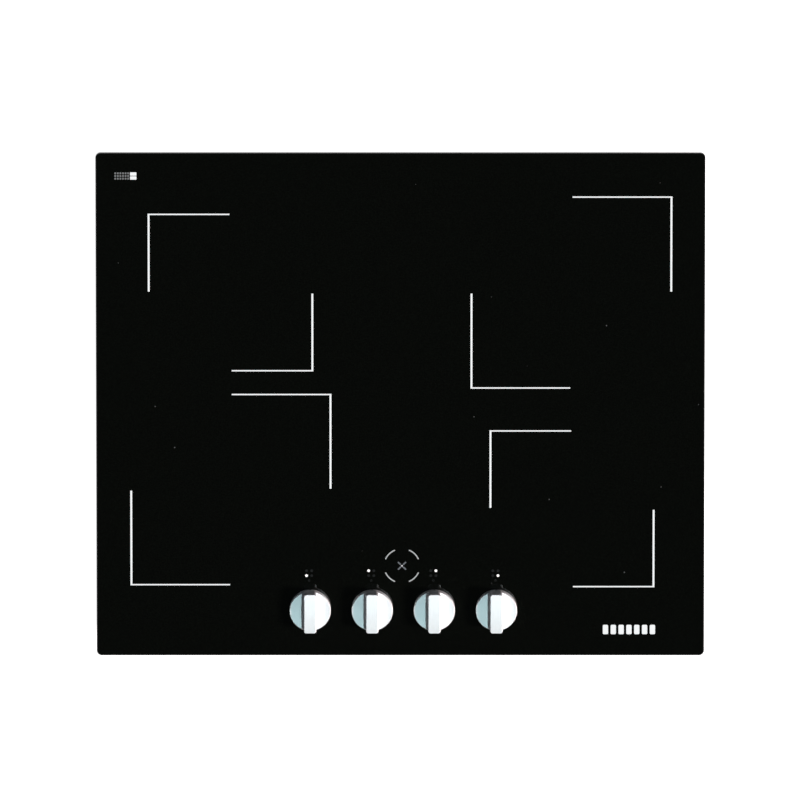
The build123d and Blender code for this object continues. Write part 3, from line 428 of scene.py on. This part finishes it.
def foam(name, tone):
    """Closed-cell foam strip: small round pits."""
    material, tree, shader = new_material(name)
    cells = add(tree, "ShaderNodeTexVoronoi", {"Vector": place(tree), "Scale": 1100.0}).outputs["Distance"]
    tint = mixed(tree, between(tree, cells, 0, 1, 0.1, 0.6), shade(tone, 1.4), shade(tone, 0.5))
    wire_up(tree, shader, Base_Color=tint, Roughness=between(tree, cells, 0.75, 0.95))
    dent(tree, shader, cells, 0.2 * MM, 0.6)
    return material


# ---------------------------------------------------------------------- mesh helpers

SAME_POINT = 1e-7  # metres between two vertices that are merged
ON_AXIS = 1e-7  # metres from the axis within which a profile's point is on it


def finish_piece(bm, name, material, body, smooth_angle=35.0):
    """Turns a bmesh into an object that rides a body and carries the given material."""
    bmesh.ops.remove_doubles(bm, verts=bm.verts, dist=SAME_POINT)
    bmesh.ops.recalc_face_normals(bm, faces=bm.faces)
    mesh = bpy.data.meshes.new(name)
    bm.to_mesh(mesh)
    bm.free()
    for polygon in mesh.polygons:
        polygon.use_smooth = True
    mesh.set_sharp_from_angle(angle=radians(smooth_angle))
    piece = bpy.data.objects.new(name, mesh)
    bpy.context.scene.collection.objects.link(piece)
    mesh.materials.append(material)
    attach(piece, body)
    return piece


def prism(bm, outline, low, high, bevel=0.0):
    """A closed solid over a convex or concave outline, its upper edge drawn in by a bevel."""
    count = len(outline)
    flat = [Vector((x, y)) for x, y in outline]
    inset = flat
    if bevel:
        inset = []
        for index in range(count):
            before = (flat[index] - flat[index - 1]).normalized()
            after = (flat[(index + 1) % count] - flat[index]).normalized()
            inward = Vector((-before.y - after.y, before.x + after.x))
            inset.append(flat[index] + inward * (bevel / max(0.3, 1 + before.dot(after))))
    rows = [(flat, low), (flat, high - bevel), (inset, high)] if bevel else [(flat, low), (flat, high)]
    rings = [[bm.verts.new((p.x, p.y, z)) for p in points] for points, z in rows]
    for under, over in zip(rings, rings[1:]):
        for index in range(count):
            nxt = (index + 1) % count
            bm.faces.new((under[index], under[nxt], over[nxt], over[index]))
    bm.faces.new(reversed(rings[0]))
    bm.faces.new(rings[-1])


def print_on_glass(bm, outline, settings):
    """Adds a flat printed shape that lies on the glass and has a softened upper edge."""
    prism(bm, outline, GLASS_Z, GLASS_Z + settings.thickness, settings.thickness / 3)


def circle(x, y, radius, steps=32):
    return [(x + radius * cos(tau * k / steps), y + radius * sin(tau * k / steps)) for k in range(steps)]


def rounded_bar(x, y, width, height, radius, steps=5):
    """A rectangle with round corners, as a counter-clockwise outline."""
    points = []
    for quarter, (sx, sy) in enumerate(((1, 1), (-1, 1), (-1, -1), (1, -1))):
        cx = x + sx * (width / 2 - radius)
        cy = y + sy * (height / 2 - radius)
        for step in range(steps + 1):
            turn = (quarter + step / steps) * pi / 2
            points.append((cx + radius * cos(turn), cy + radius * sin(turn)))
    return points


def corner_mark(x, y, sign_x, sign_y, leg, upright_width, level_width):
    """An L whose corner is at (x, y) and whose legs run towards -sign_x and -sign_y."""
    half_x = upright_width / 2
    half_y = level_width / 2
    corners = [
        (half_x, half_y),
        (half_x, -leg),
        (-half_x, -leg),
        (-half_x, -half_y),
        (-leg, -half_y),
        (-leg, half_y),
    ]
    outline = [(x + sign_x * px, y + sign_y * py) for px, py in corners]
    return outline[::-1] if sign_x * sign_y > 0 else outline


def arc_band(x, y, outer, inner, start, end, steps=16):
    """Part of a flat ring between two angles, as a counter-clockwise outline."""
    turns = [start + (end - start) * k / steps for k in range(steps + 1)]
    rim = [(x + outer * cos(t), y + outer * sin(t)) for t in turns]
    return rim + [(x + inner * cos(t), y + inner * sin(t)) for t in reversed(turns)]


def revolve(bm, profile, centre, steps):
    """Turns a (radius, height) profile about the upright axis at centre."""
    rings = []
    for radius, height in profile:
        if radius < ON_AXIS:
            rings.append([bm.verts.new(centre + Vector((0, 0, height)))])
        else:
            rim = [(x, y, height) for x, y in circle(0, 0, radius, steps)]
            rings.append([bm.verts.new(centre + Vector(point)) for point in rim])
    for first, second in zip(rings, rings[1:]):
        for k in range(steps):
            nxt = (k + 1) % steps
            if len(first) == 1 and len(second) > 1:
                bm.faces.new((first[0], second[nxt], second[k]))
            elif len(second) == 1 and len(first) > 1:
                bm.faces.new((first[k], first[nxt], second[0]))
            elif len(first) > 1:
                bm.faces.new((first[k], first[nxt], second[nxt], second[k]))


def paint(material, *names):
    """Gives CAD nodes a material in place of the plain one they came with."""
    for name in names:
        mesh = NODES[name].data
        mesh.materials.clear()
        mesh.materials.append(material)
        for polygon in mesh.polygons:
            polygon.material_index = 0


# ---------------------------------------------------------------------- pieces on the glass


class COOKTOP_OT_glass(Operator):
    """Finish the glass-ceramic plate and the seal under its rim"""

    bl_idname = "cooktop.glass"
    bl_label = "Glass Plate"

    def execute(self, context):
        paint(glass_ceramic(context.scene.cooktop_glass), "glass_plate")
        paint(foam("seal_foam", (0.045, 0.045, 0.047)), "worktop_seal")
        return {"FINISHED"}


class COOKTOP_OT_zone_marks(Operator):
    """Print the two corner marks of each cooking zone"""

    bl_idname = "cooktop.zone_marks"
    bl_label = "Zone Marks"

    def execute(self, context):
        settings = context.scene.cooktop_print
        ink = ceramic_print("white_ceramic_ink", settings.ink)
        for zone in ZONES:
            centre = middle_of(f"coil_winding_{zone}")
            half = coil_radius(zone) + settings.zone_margin
            leg = half - settings.leg_gap
            # Small zones are marked at rear left and front right, large ones at the other two corners
            slant = -1 if zone in ("rear_left", "front_right") else 1
            bm = bmesh.new()
            for sign in (-1, 1):
                outline = corner_mark(
                    centre.x + sign * half, centre.y + sign * slant * half, sign, sign * slant, leg,
                    settings.upright_line, settings.level_line,
                )
                print_on_glass(bm, outline, settings)
            finish_piece(bm, f"zone_mark_{zone}", ink, MAIN_BODY)
        return {"FINISHED"}


RING_GREY = 0.5  # the ring's ink, as a part of the white ink
ARC_START = radians(23)  # from the X axis to the first arc's end, in each quarter
ARC_SWEEP = radians(44)
LAMP_REACH = 3.5 * MM  # from the indicator's middle to a lamp window's middle
LAMP_LENGTH = 4.2 * MM
LAMP_WIDTH = 1.5 * MM
LAMP_CORNER = 0.7 * MM
LAMP_BEAD = (  # radius and height of the small dome in the middle
    (0, 0),
    (0.95 * MM, 0),
    (0.95 * MM, 0.06 * MM),
    (0.6 * MM, 0.09 * MM),
    (0, 0.1 * MM),
)


class COOKTOP_OT_indicator(Operator):
    """Print the indicator's broken ring and set the four residual-heat lamps in it"""

    bl_idname = "cooktop.indicator"
    bl_label = "Heat Indicator"

    def execute(self, context):
        settings = context.scene.cooktop_print
        centre = middle_of("indicator_light_guide")
        ink = ceramic_print("ring_ceramic_ink", shade(settings.ink, RING_GREY))
        bm = bmesh.new()
        outer = settings.ring / 2
        for quarter in range(4):
            start = quarter * pi / 2 + ARC_START
            outline = arc_band(
                centre.x, centre.y, outer, outer - settings.ring_line, start, start + ARC_SWEEP
            )
            print_on_glass(bm, outline, settings)
        finish_piece(bm, "indicator_ring", ink, MAIN_BODY)
        window = lit_lens("heat_lamp_window", (0.11, 0.12, 0.135), 0.04)
        bm = bmesh.new()
        for quarter in range(4):
            turn = pi / 4 + quarter * pi / 2
            spoke = Matrix.Rotation(turn, 2)
            bar = rounded_bar(LAMP_REACH, 0, LAMP_LENGTH, LAMP_WIDTH, LAMP_CORNER)
            outline = [spoke @ Vector(point) + centre.xy for point in bar]
            print_on_glass(bm, outline, settings)
        finish_piece(bm, "heat_lamp_windows", window, MAIN_BODY)
        bm = bmesh.new()
        revolve(bm, LAMP_BEAD, Vector((centre.x, centre.y, GLASS_Z)), steps=20)
        finish_piece(
            bm, "heat_lamp_centre", lit_lens("lamp_centre", (0.46, 0.48, 0.50), 0.1), MAIN_BODY
        )
        return {"FINISHED"}


ZERO_SHADE = 1.5  # the zero mark's ink, as a multiple of the faint ink
DULL_PRINT = 0.15  # specular level of the faint inks, which hardly shine
DIAGRAM_LEFT = 1.0 * MM  # from a knob's axis to the middle of its diagram
DIAGRAM_FRONT = 7.5 * MM  # from the indicator's middle to the diagrams'
ZERO_FRONT = 7.4 * MM  # from a diagram's middle to its zero mark's
ZERO_OUTER = 1.1 * MM
ZERO_INNER = 0.65 * MM


class COOKTOP_OT_knob_marks(Operator):
    """Print the zone diagram and the zero mark behind each knob"""

    bl_idname = "cooktop.knob_marks"
    bl_label = "Knob Marks"

    def execute(self, context):
        settings = context.scene.cooktop_print
        faint = ceramic_print("faint_ceramic_ink", settings.faint_ink, Specular_IOR_Level=DULL_PRINT)
        zero_tone = shade(settings.faint_ink, ZERO_SHADE)
        zero_ink = ceramic_print("zero_ceramic_ink", zero_tone, Specular_IOR_Level=DULL_PRINT)
        # The white zone dot is print with no lamp under it; its glow is painted light
        bright = lit_lens("zone_dot_painted_glow", (0.93, 0.93, 0.92), 0.3)
        half = settings.dot_pitch / 2
        group_y = middle_of("indicator_light_guide").y - DIAGRAM_FRONT
        top = GLASS_Z + settings.thickness
        for zone in ZONES:
            x = middle_of(f"knob_{zone}").x - DIAGRAM_LEFT
            depth, side = zone.split("_")
            dark_dots = bmesh.new()
            white_dot = bmesh.new()
            for row, dy in (("rear", half), ("front", -half)):
                for column, dx in (("left", -half), ("right", half)):
                    target = white_dot if (row, column) == (depth, side) else dark_dots
                    print_on_glass(target, circle(x + dx, group_y + dy, settings.dot / 2), settings)
            finish_piece(dark_dots, f"zone_diagram_{zone}", faint, MAIN_BODY)
            finish_piece(white_dot, f"zone_dot_{zone}", bright, MAIN_BODY)
            zero = bmesh.new()
            for quarter in range(4):
                start = quarter * pi / 2
                outline = arc_band(
                    x, group_y - ZERO_FRONT, ZERO_OUTER, ZERO_INNER, start, start + pi / 2, 6
                )
                prism(zero, outline, GLASS_Z, top)
            finish_piece(zero, f"zero_mark_{zone}", zero_ink, MAIN_BODY)
        return {"FINISHED"}


# The front mark is a row of bars; the rear corner has a grid of small bars and a block
FRONT_BARS = 7
FRONT_PITCH = 7.6 * MM
FRONT_BAR = (5.2 * MM, 9.6 * MM, 1.2 * MM)  # width, depth and corner radius
FRONT_FROM_RIGHT = 73 * MM  # from the glass's edge to the row's middle
FRONT_FROM_FRONT = 26.6 * MM
CORNER_ROWS = 3
CORNER_COLUMNS = 6
CORNER_PITCH_X = 2.5 * MM
CORNER_PITCH_Y = 2.7 * MM
CORNER_BAR = (1.7 * MM, 1.9 * MM, 0.4 * MM)
CORNER_FROM_LEFT = 19.2 * MM
CORNER_FROM_REAR = 23 * MM
CORNER_GREY = 0.17  # the grid's ink, as a part of the white ink
BLOCK_BAR = (6.2 * MM, 3.4 * MM, 0.5 * MM)
BLOCK_FROM_LEFT = 36.6 * MM
BLOCK_OFFSET = 2.0 * MM  # from the mark's middle to either bar of the block
COARSE_CORNER = 3  # steps round the corner of a very small bar


class COOKTOP_OT_plain_marks(Operator):
    """Print a plain row of bars at the front and a small plain block in the rear corner"""

    bl_idname = "cooktop.plain_marks"
    bl_label = "Plain Marks"

    def execute(self, context):
        settings = context.scene.cooktop_print
        ink = bpy.data.materials["white_ceramic_ink"]
        front_x = GLASS_HIGH.x - FRONT_FROM_RIGHT
        front_y = GLASS_LOW.y + FRONT_FROM_FRONT
        rear_y = GLASS_HIGH.y - CORNER_FROM_REAR
        bm = bmesh.new()
        for bar in range(FRONT_BARS):
            x = front_x + (bar - (FRONT_BARS - 1) / 2) * FRONT_PITCH
            print_on_glass(bm, rounded_bar(x, front_y, *FRONT_BAR), settings)
        finish_piece(bm, "front_plain_mark", ink, MAIN_BODY)
        grey = ceramic_print("corner_ceramic_ink", shade(settings.ink, CORNER_GREY))
        bm = bmesh.new()
        for row in range(CORNER_ROWS):
            y = rear_y + (row - (CORNER_ROWS - 1) / 2) * CORNER_PITCH_Y
            for column in range(CORNER_COLUMNS):
                x = GLASS_LOW.x + CORNER_FROM_LEFT + column * CORNER_PITCH_X
                print_on_glass(bm, rounded_bar(x, y, *CORNER_BAR, COARSE_CORNER), settings)
        finish_piece(bm, "corner_plain_mark", grey, MAIN_BODY)
        bm = bmesh.new()
        for side in (-1, 1):
            x = GLASS_LOW.x + BLOCK_FROM_LEFT
            y = rear_y + side * BLOCK_OFFSET
            print_on_glass(bm, rounded_bar(x, y, *BLOCK_BAR, COARSE_CORNER), settings)
        finish_piece(bm, "corner_plain_block", ink, MAIN_BODY)
        return {"FINISHED"}


# ---------------------------------------------------------------------- knobs


class COOKTOP_OT_knobs(Operator):
    """Finish the four knobs, their shafts and the grommets round them"""

    bl_idname = "cooktop.knobs"
    bl_label = "Knobs"

    def execute(self, context):
        metal = turned_aluminium(context.scene.cooktop_knobs)
        paint(metal, *[f"knob_{zone}" for zone in ZONES])
        paint(brushed("shaft_steel", (0.56, 0.56, 0.57)), *[f"knob_shaft_{zone}" for zone in ZONES])
        paint(rubbery("grommet_silicone", (0.03, 0.03, 0.032)), "shaft_seals")
        return {"FINISHED"}


# ---------------------------------------------------------------------- casing


def screw_mesh(head_radius, head_height):
    """A pan head with a rolled edge and a cross recess, standing on z = 0 and pointing up."""
    bm = bmesh.new()
    profile = [
        (0, 0),
        (head_radius * 0.96, 0),
        (head_radius, head_height * 0.15),
        (head_radius, head_height * 0.45),
        (head_radius * 0.93, head_height * 0.75),
        (head_radius * 0.78, head_height * 0.93),
        (head_radius * 0.5, head_height),
        (0, head_height),
    ]
    revolve(bm, profile, Vector((0, 0, 0)), steps=28)
    head = bpy.data.meshes.new("screw_head")
    bm.to_mesh(head)
    bm.free()
    cutter_mesh = bpy.data.meshes.new("cross_cutter")
    bm = bmesh.new()
    arm = head_radius * 0.58
    blade = head_radius * 0.13
    for turn in (0, pi / 2):
        spin = Matrix.Rotation(turn, 4, "Z")
        corners = []
        for z, scale in ((head_height * 0.3, 0.45), (head_height * 1.2, 1.1)):
            for sx, sy in ((-1, -1), (1, -1), (1, 1), (-1, 1)):
                corners.append(bm.verts.new(spin @ Vector((sx * arm * scale, sy * blade, z))))
        for face in ((3, 2, 1, 0), (4, 5, 6, 7), (0, 1, 5, 4), (1, 2, 6, 5), (2, 3, 7, 6), (3, 0, 4, 7)):
            bm.faces.new([corners[k] for k in face])
    bmesh.ops.recalc_face_normals(bm, faces=bm.faces)
    bm.to_mesh(cutter_mesh)
    bm.free()
    head_object = bpy.data.objects.new("screw_head", head)
    cutter = bpy.data.objects.new("cross_cutter", cutter_mesh)
    for made in (head_object, cutter):
        bpy.context.scene.collection.objects.link(made)
    cut = head_object.modifiers.new("cross", "BOOLEAN")
    cut.object = cutter
    cut.operation = "DIFFERENCE"
    cut.solver = "EXACT"
    cut.use_self = True
    depsgraph = bpy.context.evaluated_depsgraph_get()
    result = bpy.data.meshes.new_from_object(head_object.evaluated_get(depsgraph))
    for made in (head_object, cutter):
        bpy.data.objects.remove(made)
    return result


def add_screw_heads(name, seats, material):
    """Screw heads at seats, each a place, a direction and a turn about it, as one piece."""
    source = screw_mesh(SCREW_HEAD_R, SCREW_HEAD_HEIGHT)
    bm = bmesh.new()
    for place_of, direction, turn in seats:
        before = len(bm.verts)
        bm.from_mesh(source)
        bm.verts.ensure_lookup_table()
        stand = Matrix.Translation(place_of) @ direction.to_track_quat("Z", "Y").to_matrix().to_4x4()
        bmesh.ops.transform(bm, matrix=stand @ Matrix.Rotation(turn, 4, "Z"), verts=bm.verts[before:])
    return finish_piece(bm, name, material, MAIN_BODY)


SCREW_HEAD_R = 2.8 * MM
SCREW_HEAD_HEIGHT = 1.8 * MM
WALL_SCREWS_Y = (-200 * MM, -70 * MM, 70 * MM, 200 * MM)  # the screws along each side wall
WALL_SCREWS_Z = 48 * MM
SPRING_SCREWS_Z = 16 * MM
SPRING_END = 11 * MM  # from a spring's outer end to its screw, front to back
SPRING_STANDOFF = 1 * MM  # from the wall to the springs' screw heads
PLATE_PLACE = (-75 * MM, 25 * MM)  # X and Z of the rating plate's middle
PLATE = (56 * MM, 26 * MM, 2 * MM)  # width, height and corner radius
PLATE_THICKNESS = 0.25 * MM
PLATE_EDGE = 0.08 * MM
RIB_WIDTH = 0.8 * MM
RIB_CORNER = 0.35 * MM
RIB_FOOT = 0.2 * MM
RIB_TOP = 0.36 * MM
LONG_RIB = (10.2 * MM, 51 * MM)  # from the plate's middle, and length
SHORT_RIB = (25.1 * MM, 18.6 * MM)


class COOKTOP_OT_casing(Operator):
    """Finish the sheet-metal casing, its frame, springs and screws, and add a blank rating plate"""

    bl_idname = "cooktop.casing"
    bl_label = "Casing"

    def execute(self, context):
        zinc = galvanised("galvanised_sheet", (0.42, 0.435, 0.45))
        paint(zinc, "housing_tray")
        paint(galvanised("frame_sheet", (0.50, 0.51, 0.53)), "glass_frame")
        paint(brushed("spring_strip", (0.55, 0.54, 0.52), 0.28, (400, 8, 8)), "mounting_springs")
        paint(moulded("natural_nylon", (0.72, 0.70, 0.64)), "support_posts")
        self.screws()
        self.rating_plate()
        return {"FINISHED"}

    def screws(self):
        """Heads with a cross recess in place of the plain ones, on both side walls."""
        plated = grained("zinc_plated_screw", (0.62, 0.62, 0.60), 0.3, 900, 0.004 * MM, Metallic=1.0)
        tray_low, tray_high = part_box("housing_tray")
        spring_low, spring_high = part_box("mounting_springs")
        spring_middle = (spring_high.y - spring_low.y) / 2 - SPRING_END
        seats = []
        for sign, wall in ((-1, tray_low.x), (1, tray_high.x)):
            direction = Vector((sign, 0, 0))
            for order, y in enumerate(WALL_SCREWS_Y):
                seats.append((Vector((wall, y, WALL_SCREWS_Z)), direction, 0.7 * order))
            for order, y in enumerate((-spring_middle, spring_middle)):
                x = wall + sign * SPRING_STANDOFF
                seats.append((Vector((x, y, SPRING_SCREWS_Z)), direction, 0.4 + order))
        piece = add_screw_heads("casing_screw_heads", seats, plated)
        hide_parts("casing_screws")

    def rating_plate(self):
        """A thin blank foil plate on the rear wall, with an embossed border."""
        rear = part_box("housing_tray")[1].y
        foil = brushed("foil_plate", (0.52, 0.53, 0.54), 0.4, (8, 8, 500))
        bm = bmesh.new()
        plate_x, plate_z = PLATE_PLACE
        centre = Vector((plate_x, rear, plate_z))
        stand = Matrix.Translation(centre) @ Matrix.Rotation(-pi / 2, 4, "X")
        prism(bm, rounded_bar(0, 0, *PLATE), 0, PLATE_THICKNESS, PLATE_EDGE)
        long_y, long_length = LONG_RIB
        short_x, short_length = SHORT_RIB
        for sign in (-1, 1):
            long_rib = rounded_bar(0, sign * long_y, long_length, RIB_WIDTH, RIB_CORNER)
            short_rib = rounded_bar(sign * short_x, 0, RIB_WIDTH, short_length, RIB_CORNER)
            for rib in (long_rib, short_rib):
                prism(bm, rib, RIB_FOOT, RIB_TOP, PLATE_EDGE)
        bmesh.ops.transform(bm, matrix=stand, verts=bm.verts[:])
        finish_piece(bm, "blank_rating_plate", foil, MAIN_BODY)


# ---------------------------------------------------------------------- coils


WINDING_INNER_R = 21 * MM
STEPS_PER_TURN = 56
TWIST_PER_STEP = 0.23  # radians that the strands turn about the wire
VALLEY = 0.88  # radius between two strands, as a part of the wire's


def spiral_wire(bm, centre, inner, outer, pitch, wire_radius, strands):
    """A flat spiral of wire from the inner radius to the outer one, with a scalloped section."""
    turns = (outer - inner) / pitch
    total = ceil(turns * STEPS_PER_TURN)
    previous = None
    for step in range(total + 1):
        part = step / total
        turn = tau * turns * part
        radius = inner + (outer - inner) * part
        outward = Vector((cos(turn), sin(turn), 0))
        middle = centre + outward * radius
        twist = step * TWIST_PER_STEP
        ring = []
        for k in range(strands * 2):
            around = tau * k / (strands * 2) + twist
            reach = wire_radius * (1.0 if k % 2 else VALLEY)
            rise = Vector((0, 0, reach * sin(around)))
            ring.append(bm.verts.new(middle + outward * (reach * cos(around)) + rise))
        if previous:
            for k in range(len(ring)):
                nxt = (k + 1) % len(ring)
                bm.faces.new((previous[k], previous[nxt], ring[nxt], ring[k]))
        else:
            bm.faces.new(ring)
        previous = ring
    bm.faces.new(reversed(previous))


class COOKTOP_OT_coils(Operator):
    """Wind the coils and finish their formers, ferrites, mica discs, sensors and plates"""

    bl_idname = "cooktop.coils"
    bl_label = "Coils"

    def execute(self, context):
        settings = context.scene.cooktop_coils
        copper = litz("litz_copper", (0.74, 0.36, 0.19))
        for zone in ZONES:
            low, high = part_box(f"coil_winding_{zone}")
            centre = (low + high) / 2
            outer = (high.x - low.x) / 2 - settings.wire / 2
            bm = bmesh.new()
            spiral_wire(
                bm, centre, WINDING_INNER_R, outer, settings.pitch, settings.wire / 2, settings.strands
            )
            piece = finish_piece(bm, f"winding_{zone}", copper, MAIN_BODY, 60)
            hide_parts(f"coil_winding_{zone}")
        paint(moulded("former_plastic", (0.10, 0.10, 0.105)), *[f"coil_former_{zone}" for zone in ZONES])
        paint(mica("pressed_mica", (0.52, 0.47, 0.37)), *[f"mica_disc_{zone}" for zone in ZONES])
        ferrite = grained("sintered_ferrite", (0.055, 0.055, 0.06), 0.55, 2200, 0.02 * MM, spread=0.3)
        paint(ferrite, "ferrite_bars")
        paint(
            rubbery("sensor_silicone", (0.62, 0.61, 0.58)), *[f"temperature_sensor_{zone}" for zone in ZONES]
        )
        paint(rubbery("lead_sleeve", (0.74, 0.73, 0.68)), "coil_leads")
        paint(
            brushed("mill_aluminium", (0.76, 0.77, 0.78), 0.35, (300, 8, 8)),
            *[f"coil_plate_{side}" for side in SIDES],
        )
        return {"FINISHED"}


# ---------------------------------------------------------------------- electronics and fans


class COOKTOP_OT_electronics(Operator):
    """Finish the boards, heatsinks and the parts on them"""

    bl_idname = "cooktop.electronics"
    bl_label = "Electronics"

    def execute(self, context):
        board = laminate("green_laminate", (0.02, 0.13, 0.055))
        paint(board, "filter_board", "control_board", *[f"power_board_{side}" for side in SIDES])
        paint(
            brushed("extruded_aluminium", (0.72, 0.73, 0.74), 0.4, (300, 8, 300)),
            *[f"heatsink_{side}" for side in SIDES],
        )
        epoxy = moulded("module_epoxy", (0.02, 0.02, 0.022), 0.45)
        paint(epoxy, *[f"power_modules_{side}" for side in SIDES])
        paint(
            grained("capacitor_case", (0.05, 0.10, 0.32), 0.3, 700, 0.006 * MM, Coat_Weight=0.3),
            *[f"board_capacitors_{side}" for side in SIDES],
        )
        paint(
            grained("filter_varnish", (0.60, 0.42, 0.10), 0.3, 420, 0.05 * MM, Coat_Weight=0.4),
            "mains_filter_parts",
        )
        paint(moulded("carrier_plastic", (0.07, 0.07, 0.075)), "control_carrier")
        paint(moulded("switch_body", (0.06, 0.06, 0.065), 0.4), "rotary_switches")
        paint(
            grained("guide_acrylic", (0.80, 0.82, 0.84), 0.15, 300, 0.004 * MM, Transmission_Weight=0.6),
            "indicator_light_guide",
        )
        paint(lit_lens("lamp_resin", (0.85, 0.85, 0.80), 0.1), "indicator_lamps")
        return {"FINISHED"}


class COOKTOP_OT_fans(Operator):
    """Finish the two cooling fans"""

    bl_idname = "cooktop.fans"
    bl_label = "Fans"

    def execute(self, context):
        housing = moulded("fan_housing_plastic", (0.03, 0.03, 0.032))
        impeller = moulded("impeller_plastic", (0.05, 0.05, 0.053), 0.35)
        paint(housing, *[f"fan_housing_{side}" for side in SIDES])
        paint(impeller, *[f"fan_impeller_{side}" for side in SIDES])
        return {"FINISHED"}


class COOKTOP_OT_terminals(Operator):
    """Finish the terminal box, its cover, the clamp block and the cable gland"""

    bl_idname = "cooktop.terminals"
    bl_label = "Terminal Box"

    def execute(self, context):
        paint(moulded("terminal_box_plastic", (0.035, 0.035, 0.037)), "terminal_box")
        paint(moulded("terminal_cover_plastic", (0.045, 0.045, 0.048), 0.42), "terminal_cover")
        paint(moulded("terminal_block_plastic", (0.70, 0.69, 0.63), 0.4), "terminal_block")
        brass = grained("terminal_brass", (0.78, 0.60, 0.28), 0.28, 900, 0.004 * MM, Metallic=1.0)
        paint(brass, "terminal_screws")
        paint(moulded("gland_nylon", (0.02, 0.02, 0.022), 0.38), "cable_gland")
        return {"FINISHED"}


# ---------------------------------------------------------------------- stage


# Each light's direction, from the object to the light, its spread in degrees and its tint
KEY_LIGHT = ((0.235, -0.06, 0.97), 5, (0.69, 0.97, 1.0))
SIDE_LIGHT = ((0.78, -0.10, 0.60), 12, (1.0, 0.82, 0.80))
HORIZON = (0.085, 0.095, 0.105)
CEILING = (0.030, 0.031, 0.030)
CEILING_SPAN = (0.35, 0.80)  # upward part of a direction over which the one gives way to the other
AIM_X = -0.4 * MM
SENSOR_WIDTH = 36.0


class COOKTOP_OT_stage(Operator):
    """Lay the floor, set the lights and the surroundings, and aim the camera"""

    bl_idname = "cooktop.stage"
    bl_label = "Stage"

    def execute(self, context):
        settings = context.scene.cooktop_stage
        scene = context.scene
        scene.view_settings.view_transform = "Standard"
        self.floor(settings)
        self.surroundings(scene)
        self.sun("key_light", settings.key, *KEY_LIGHT)
        self.sun("side_light", settings.side, *SIDE_LIGHT)
        self.camera(scene, settings)
        return {"FINISHED"}

    def floor(self, settings):
        """A round floor that gives off some light, which hides the lights' shadows on it."""
        material, tree, shader = new_material(
            "floor_paint", Emission_Color=(1, 1, 1, 1), Emission_Strength=1.0, Specular_IOR_Level=0.1
        )
        tone = settings.floor_colour
        mottle = noise(tree, place(tree), 3.0, 2.0)
        wire_up(
            tree,
            shader,
            Base_Color=mixed(tree, mottle, shade(tone, 0.99), tone),
            Roughness=between(tree, mottle, 0.8, 0.9),
        )
        bm = bmesh.new()
        bmesh.ops.create_circle(bm, cap_ends=True, segments=96, radius=settings.floor)
        mesh = bpy.data.meshes.new("floor")
        bm.to_mesh(mesh)
        bm.free()
        mesh.materials.append(material)
        floor = bpy.data.objects.new("floor", mesh)
        bpy.context.scene.collection.objects.link(floor)

    def surroundings(self, scene):
        """A dim band round the horizon under a darker ceiling, so that the glass stays black from above."""
        world = bpy.data.worlds.new("studio")
        world.use_nodes = True
        tree = world.node_tree
        direction = add(tree, "ShaderNodeTexCoord").outputs["Generated"]
        up = add(tree, "ShaderNodeSeparateXYZ", {"Vector": direction}).outputs["Z"]
        ceiling = between(tree, up, 0, 1, *CEILING_SPAN)
        tint = mixed(tree, ceiling, HORIZON, CEILING)
        tree.links.new(tint, tree.nodes["Background"].inputs["Color"])
        scene.world = world

    def sun(self, name, strength, towards, spread, tint):
        lamp = bpy.data.lights.new(name, "SUN")
        lamp.energy = strength
        lamp.color = tint
        lamp.angle = radians(spread)
        light = bpy.data.objects.new(name, lamp)
        light.rotation_mode = "QUATERNION"
        light.rotation_quaternion = Vector(towards).to_track_quat("Z", "Y")
        bpy.context.scene.collection.objects.link(light)

    def camera(self, scene, settings):
        data = bpy.data.cameras.new("camera")
        data.sensor_width = SENSOR_WIDTH
        data.lens = data.sensor_width * settings.distance / settings.view_width
        data.clip_start = 1.0
        data.clip_end = 2 * settings.distance
        camera = bpy.data.objects.new("camera", data)
        back = Vector((0, sin(settings.tilt), cos(settings.tilt)))
        aim = Vector((AIM_X, settings.aim_offset, GLASS_Z))
        upward = Vector((0, cos(settings.tilt), -sin(settings.tilt)))
        right = upward.cross(back)
        turn = Matrix((right, upward, back)).transposed()
        camera.matrix_world = Matrix.Translation(aim + back * settings.distance) @ turn.to_4x4()
        scene.collection.objects.link(camera)
        scene.camera = camera


# ---------------------------------------------------------------------- add-on

OPERATORS = (
    COOKTOP_OT_glass,
    COOKTOP_OT_zone_marks,
    COOKTOP_OT_indicator,
    COOKTOP_OT_knob_marks,
    COOKTOP_OT_plain_marks,
    COOKTOP_OT_knobs,
    COOKTOP_OT_casing,
    COOKTOP_OT_coils,
    COOKTOP_OT_electronics,
    COOKTOP_OT_fans,
    COOKTOP_OT_terminals,
    COOKTOP_OT_stage,
)


class COOKTOP_PT_pieces(Panel):
    """Lists the cooktop's pieces and their settings"""

    bl_idname = "COOKTOP_PT_pieces"
    bl_label = "Cooktop"
    bl_space_type = "VIEW_3D"
    bl_region_type = "UI"
    bl_category = "Cooktop"

    def draw(self, context):
        for group, kind in SETTINGS.items():
            column = self.layout.column(align=True)
            for label in kind.__annotations__:
                column.prop(getattr(context.scene, group), label)
        for operator in OPERATORS:
            self.layout.operator(operator.bl_idname)


CLASSES = (*SETTINGS.values(), *OPERATORS, COOKTOP_PT_pieces)


def register():
    for kind in CLASSES:
        bpy.utils.register_class(kind)
    for group, kind in SETTINGS.items():
        setattr(bpy.types.Scene, group, PointerProperty(type=kind))


def unregister():
    for group in SETTINGS:
        delattr(bpy.types.Scene, group)
    for kind in reversed(CLASSES):
        bpy.utils.unregister_class(kind)


def main():
    register()
    for operator in OPERATORS:
        group, call = operator.bl_idname.split(".")
        getattr(getattr(bpy.ops, group), call)()


if __name__ == "__main__":
    main()
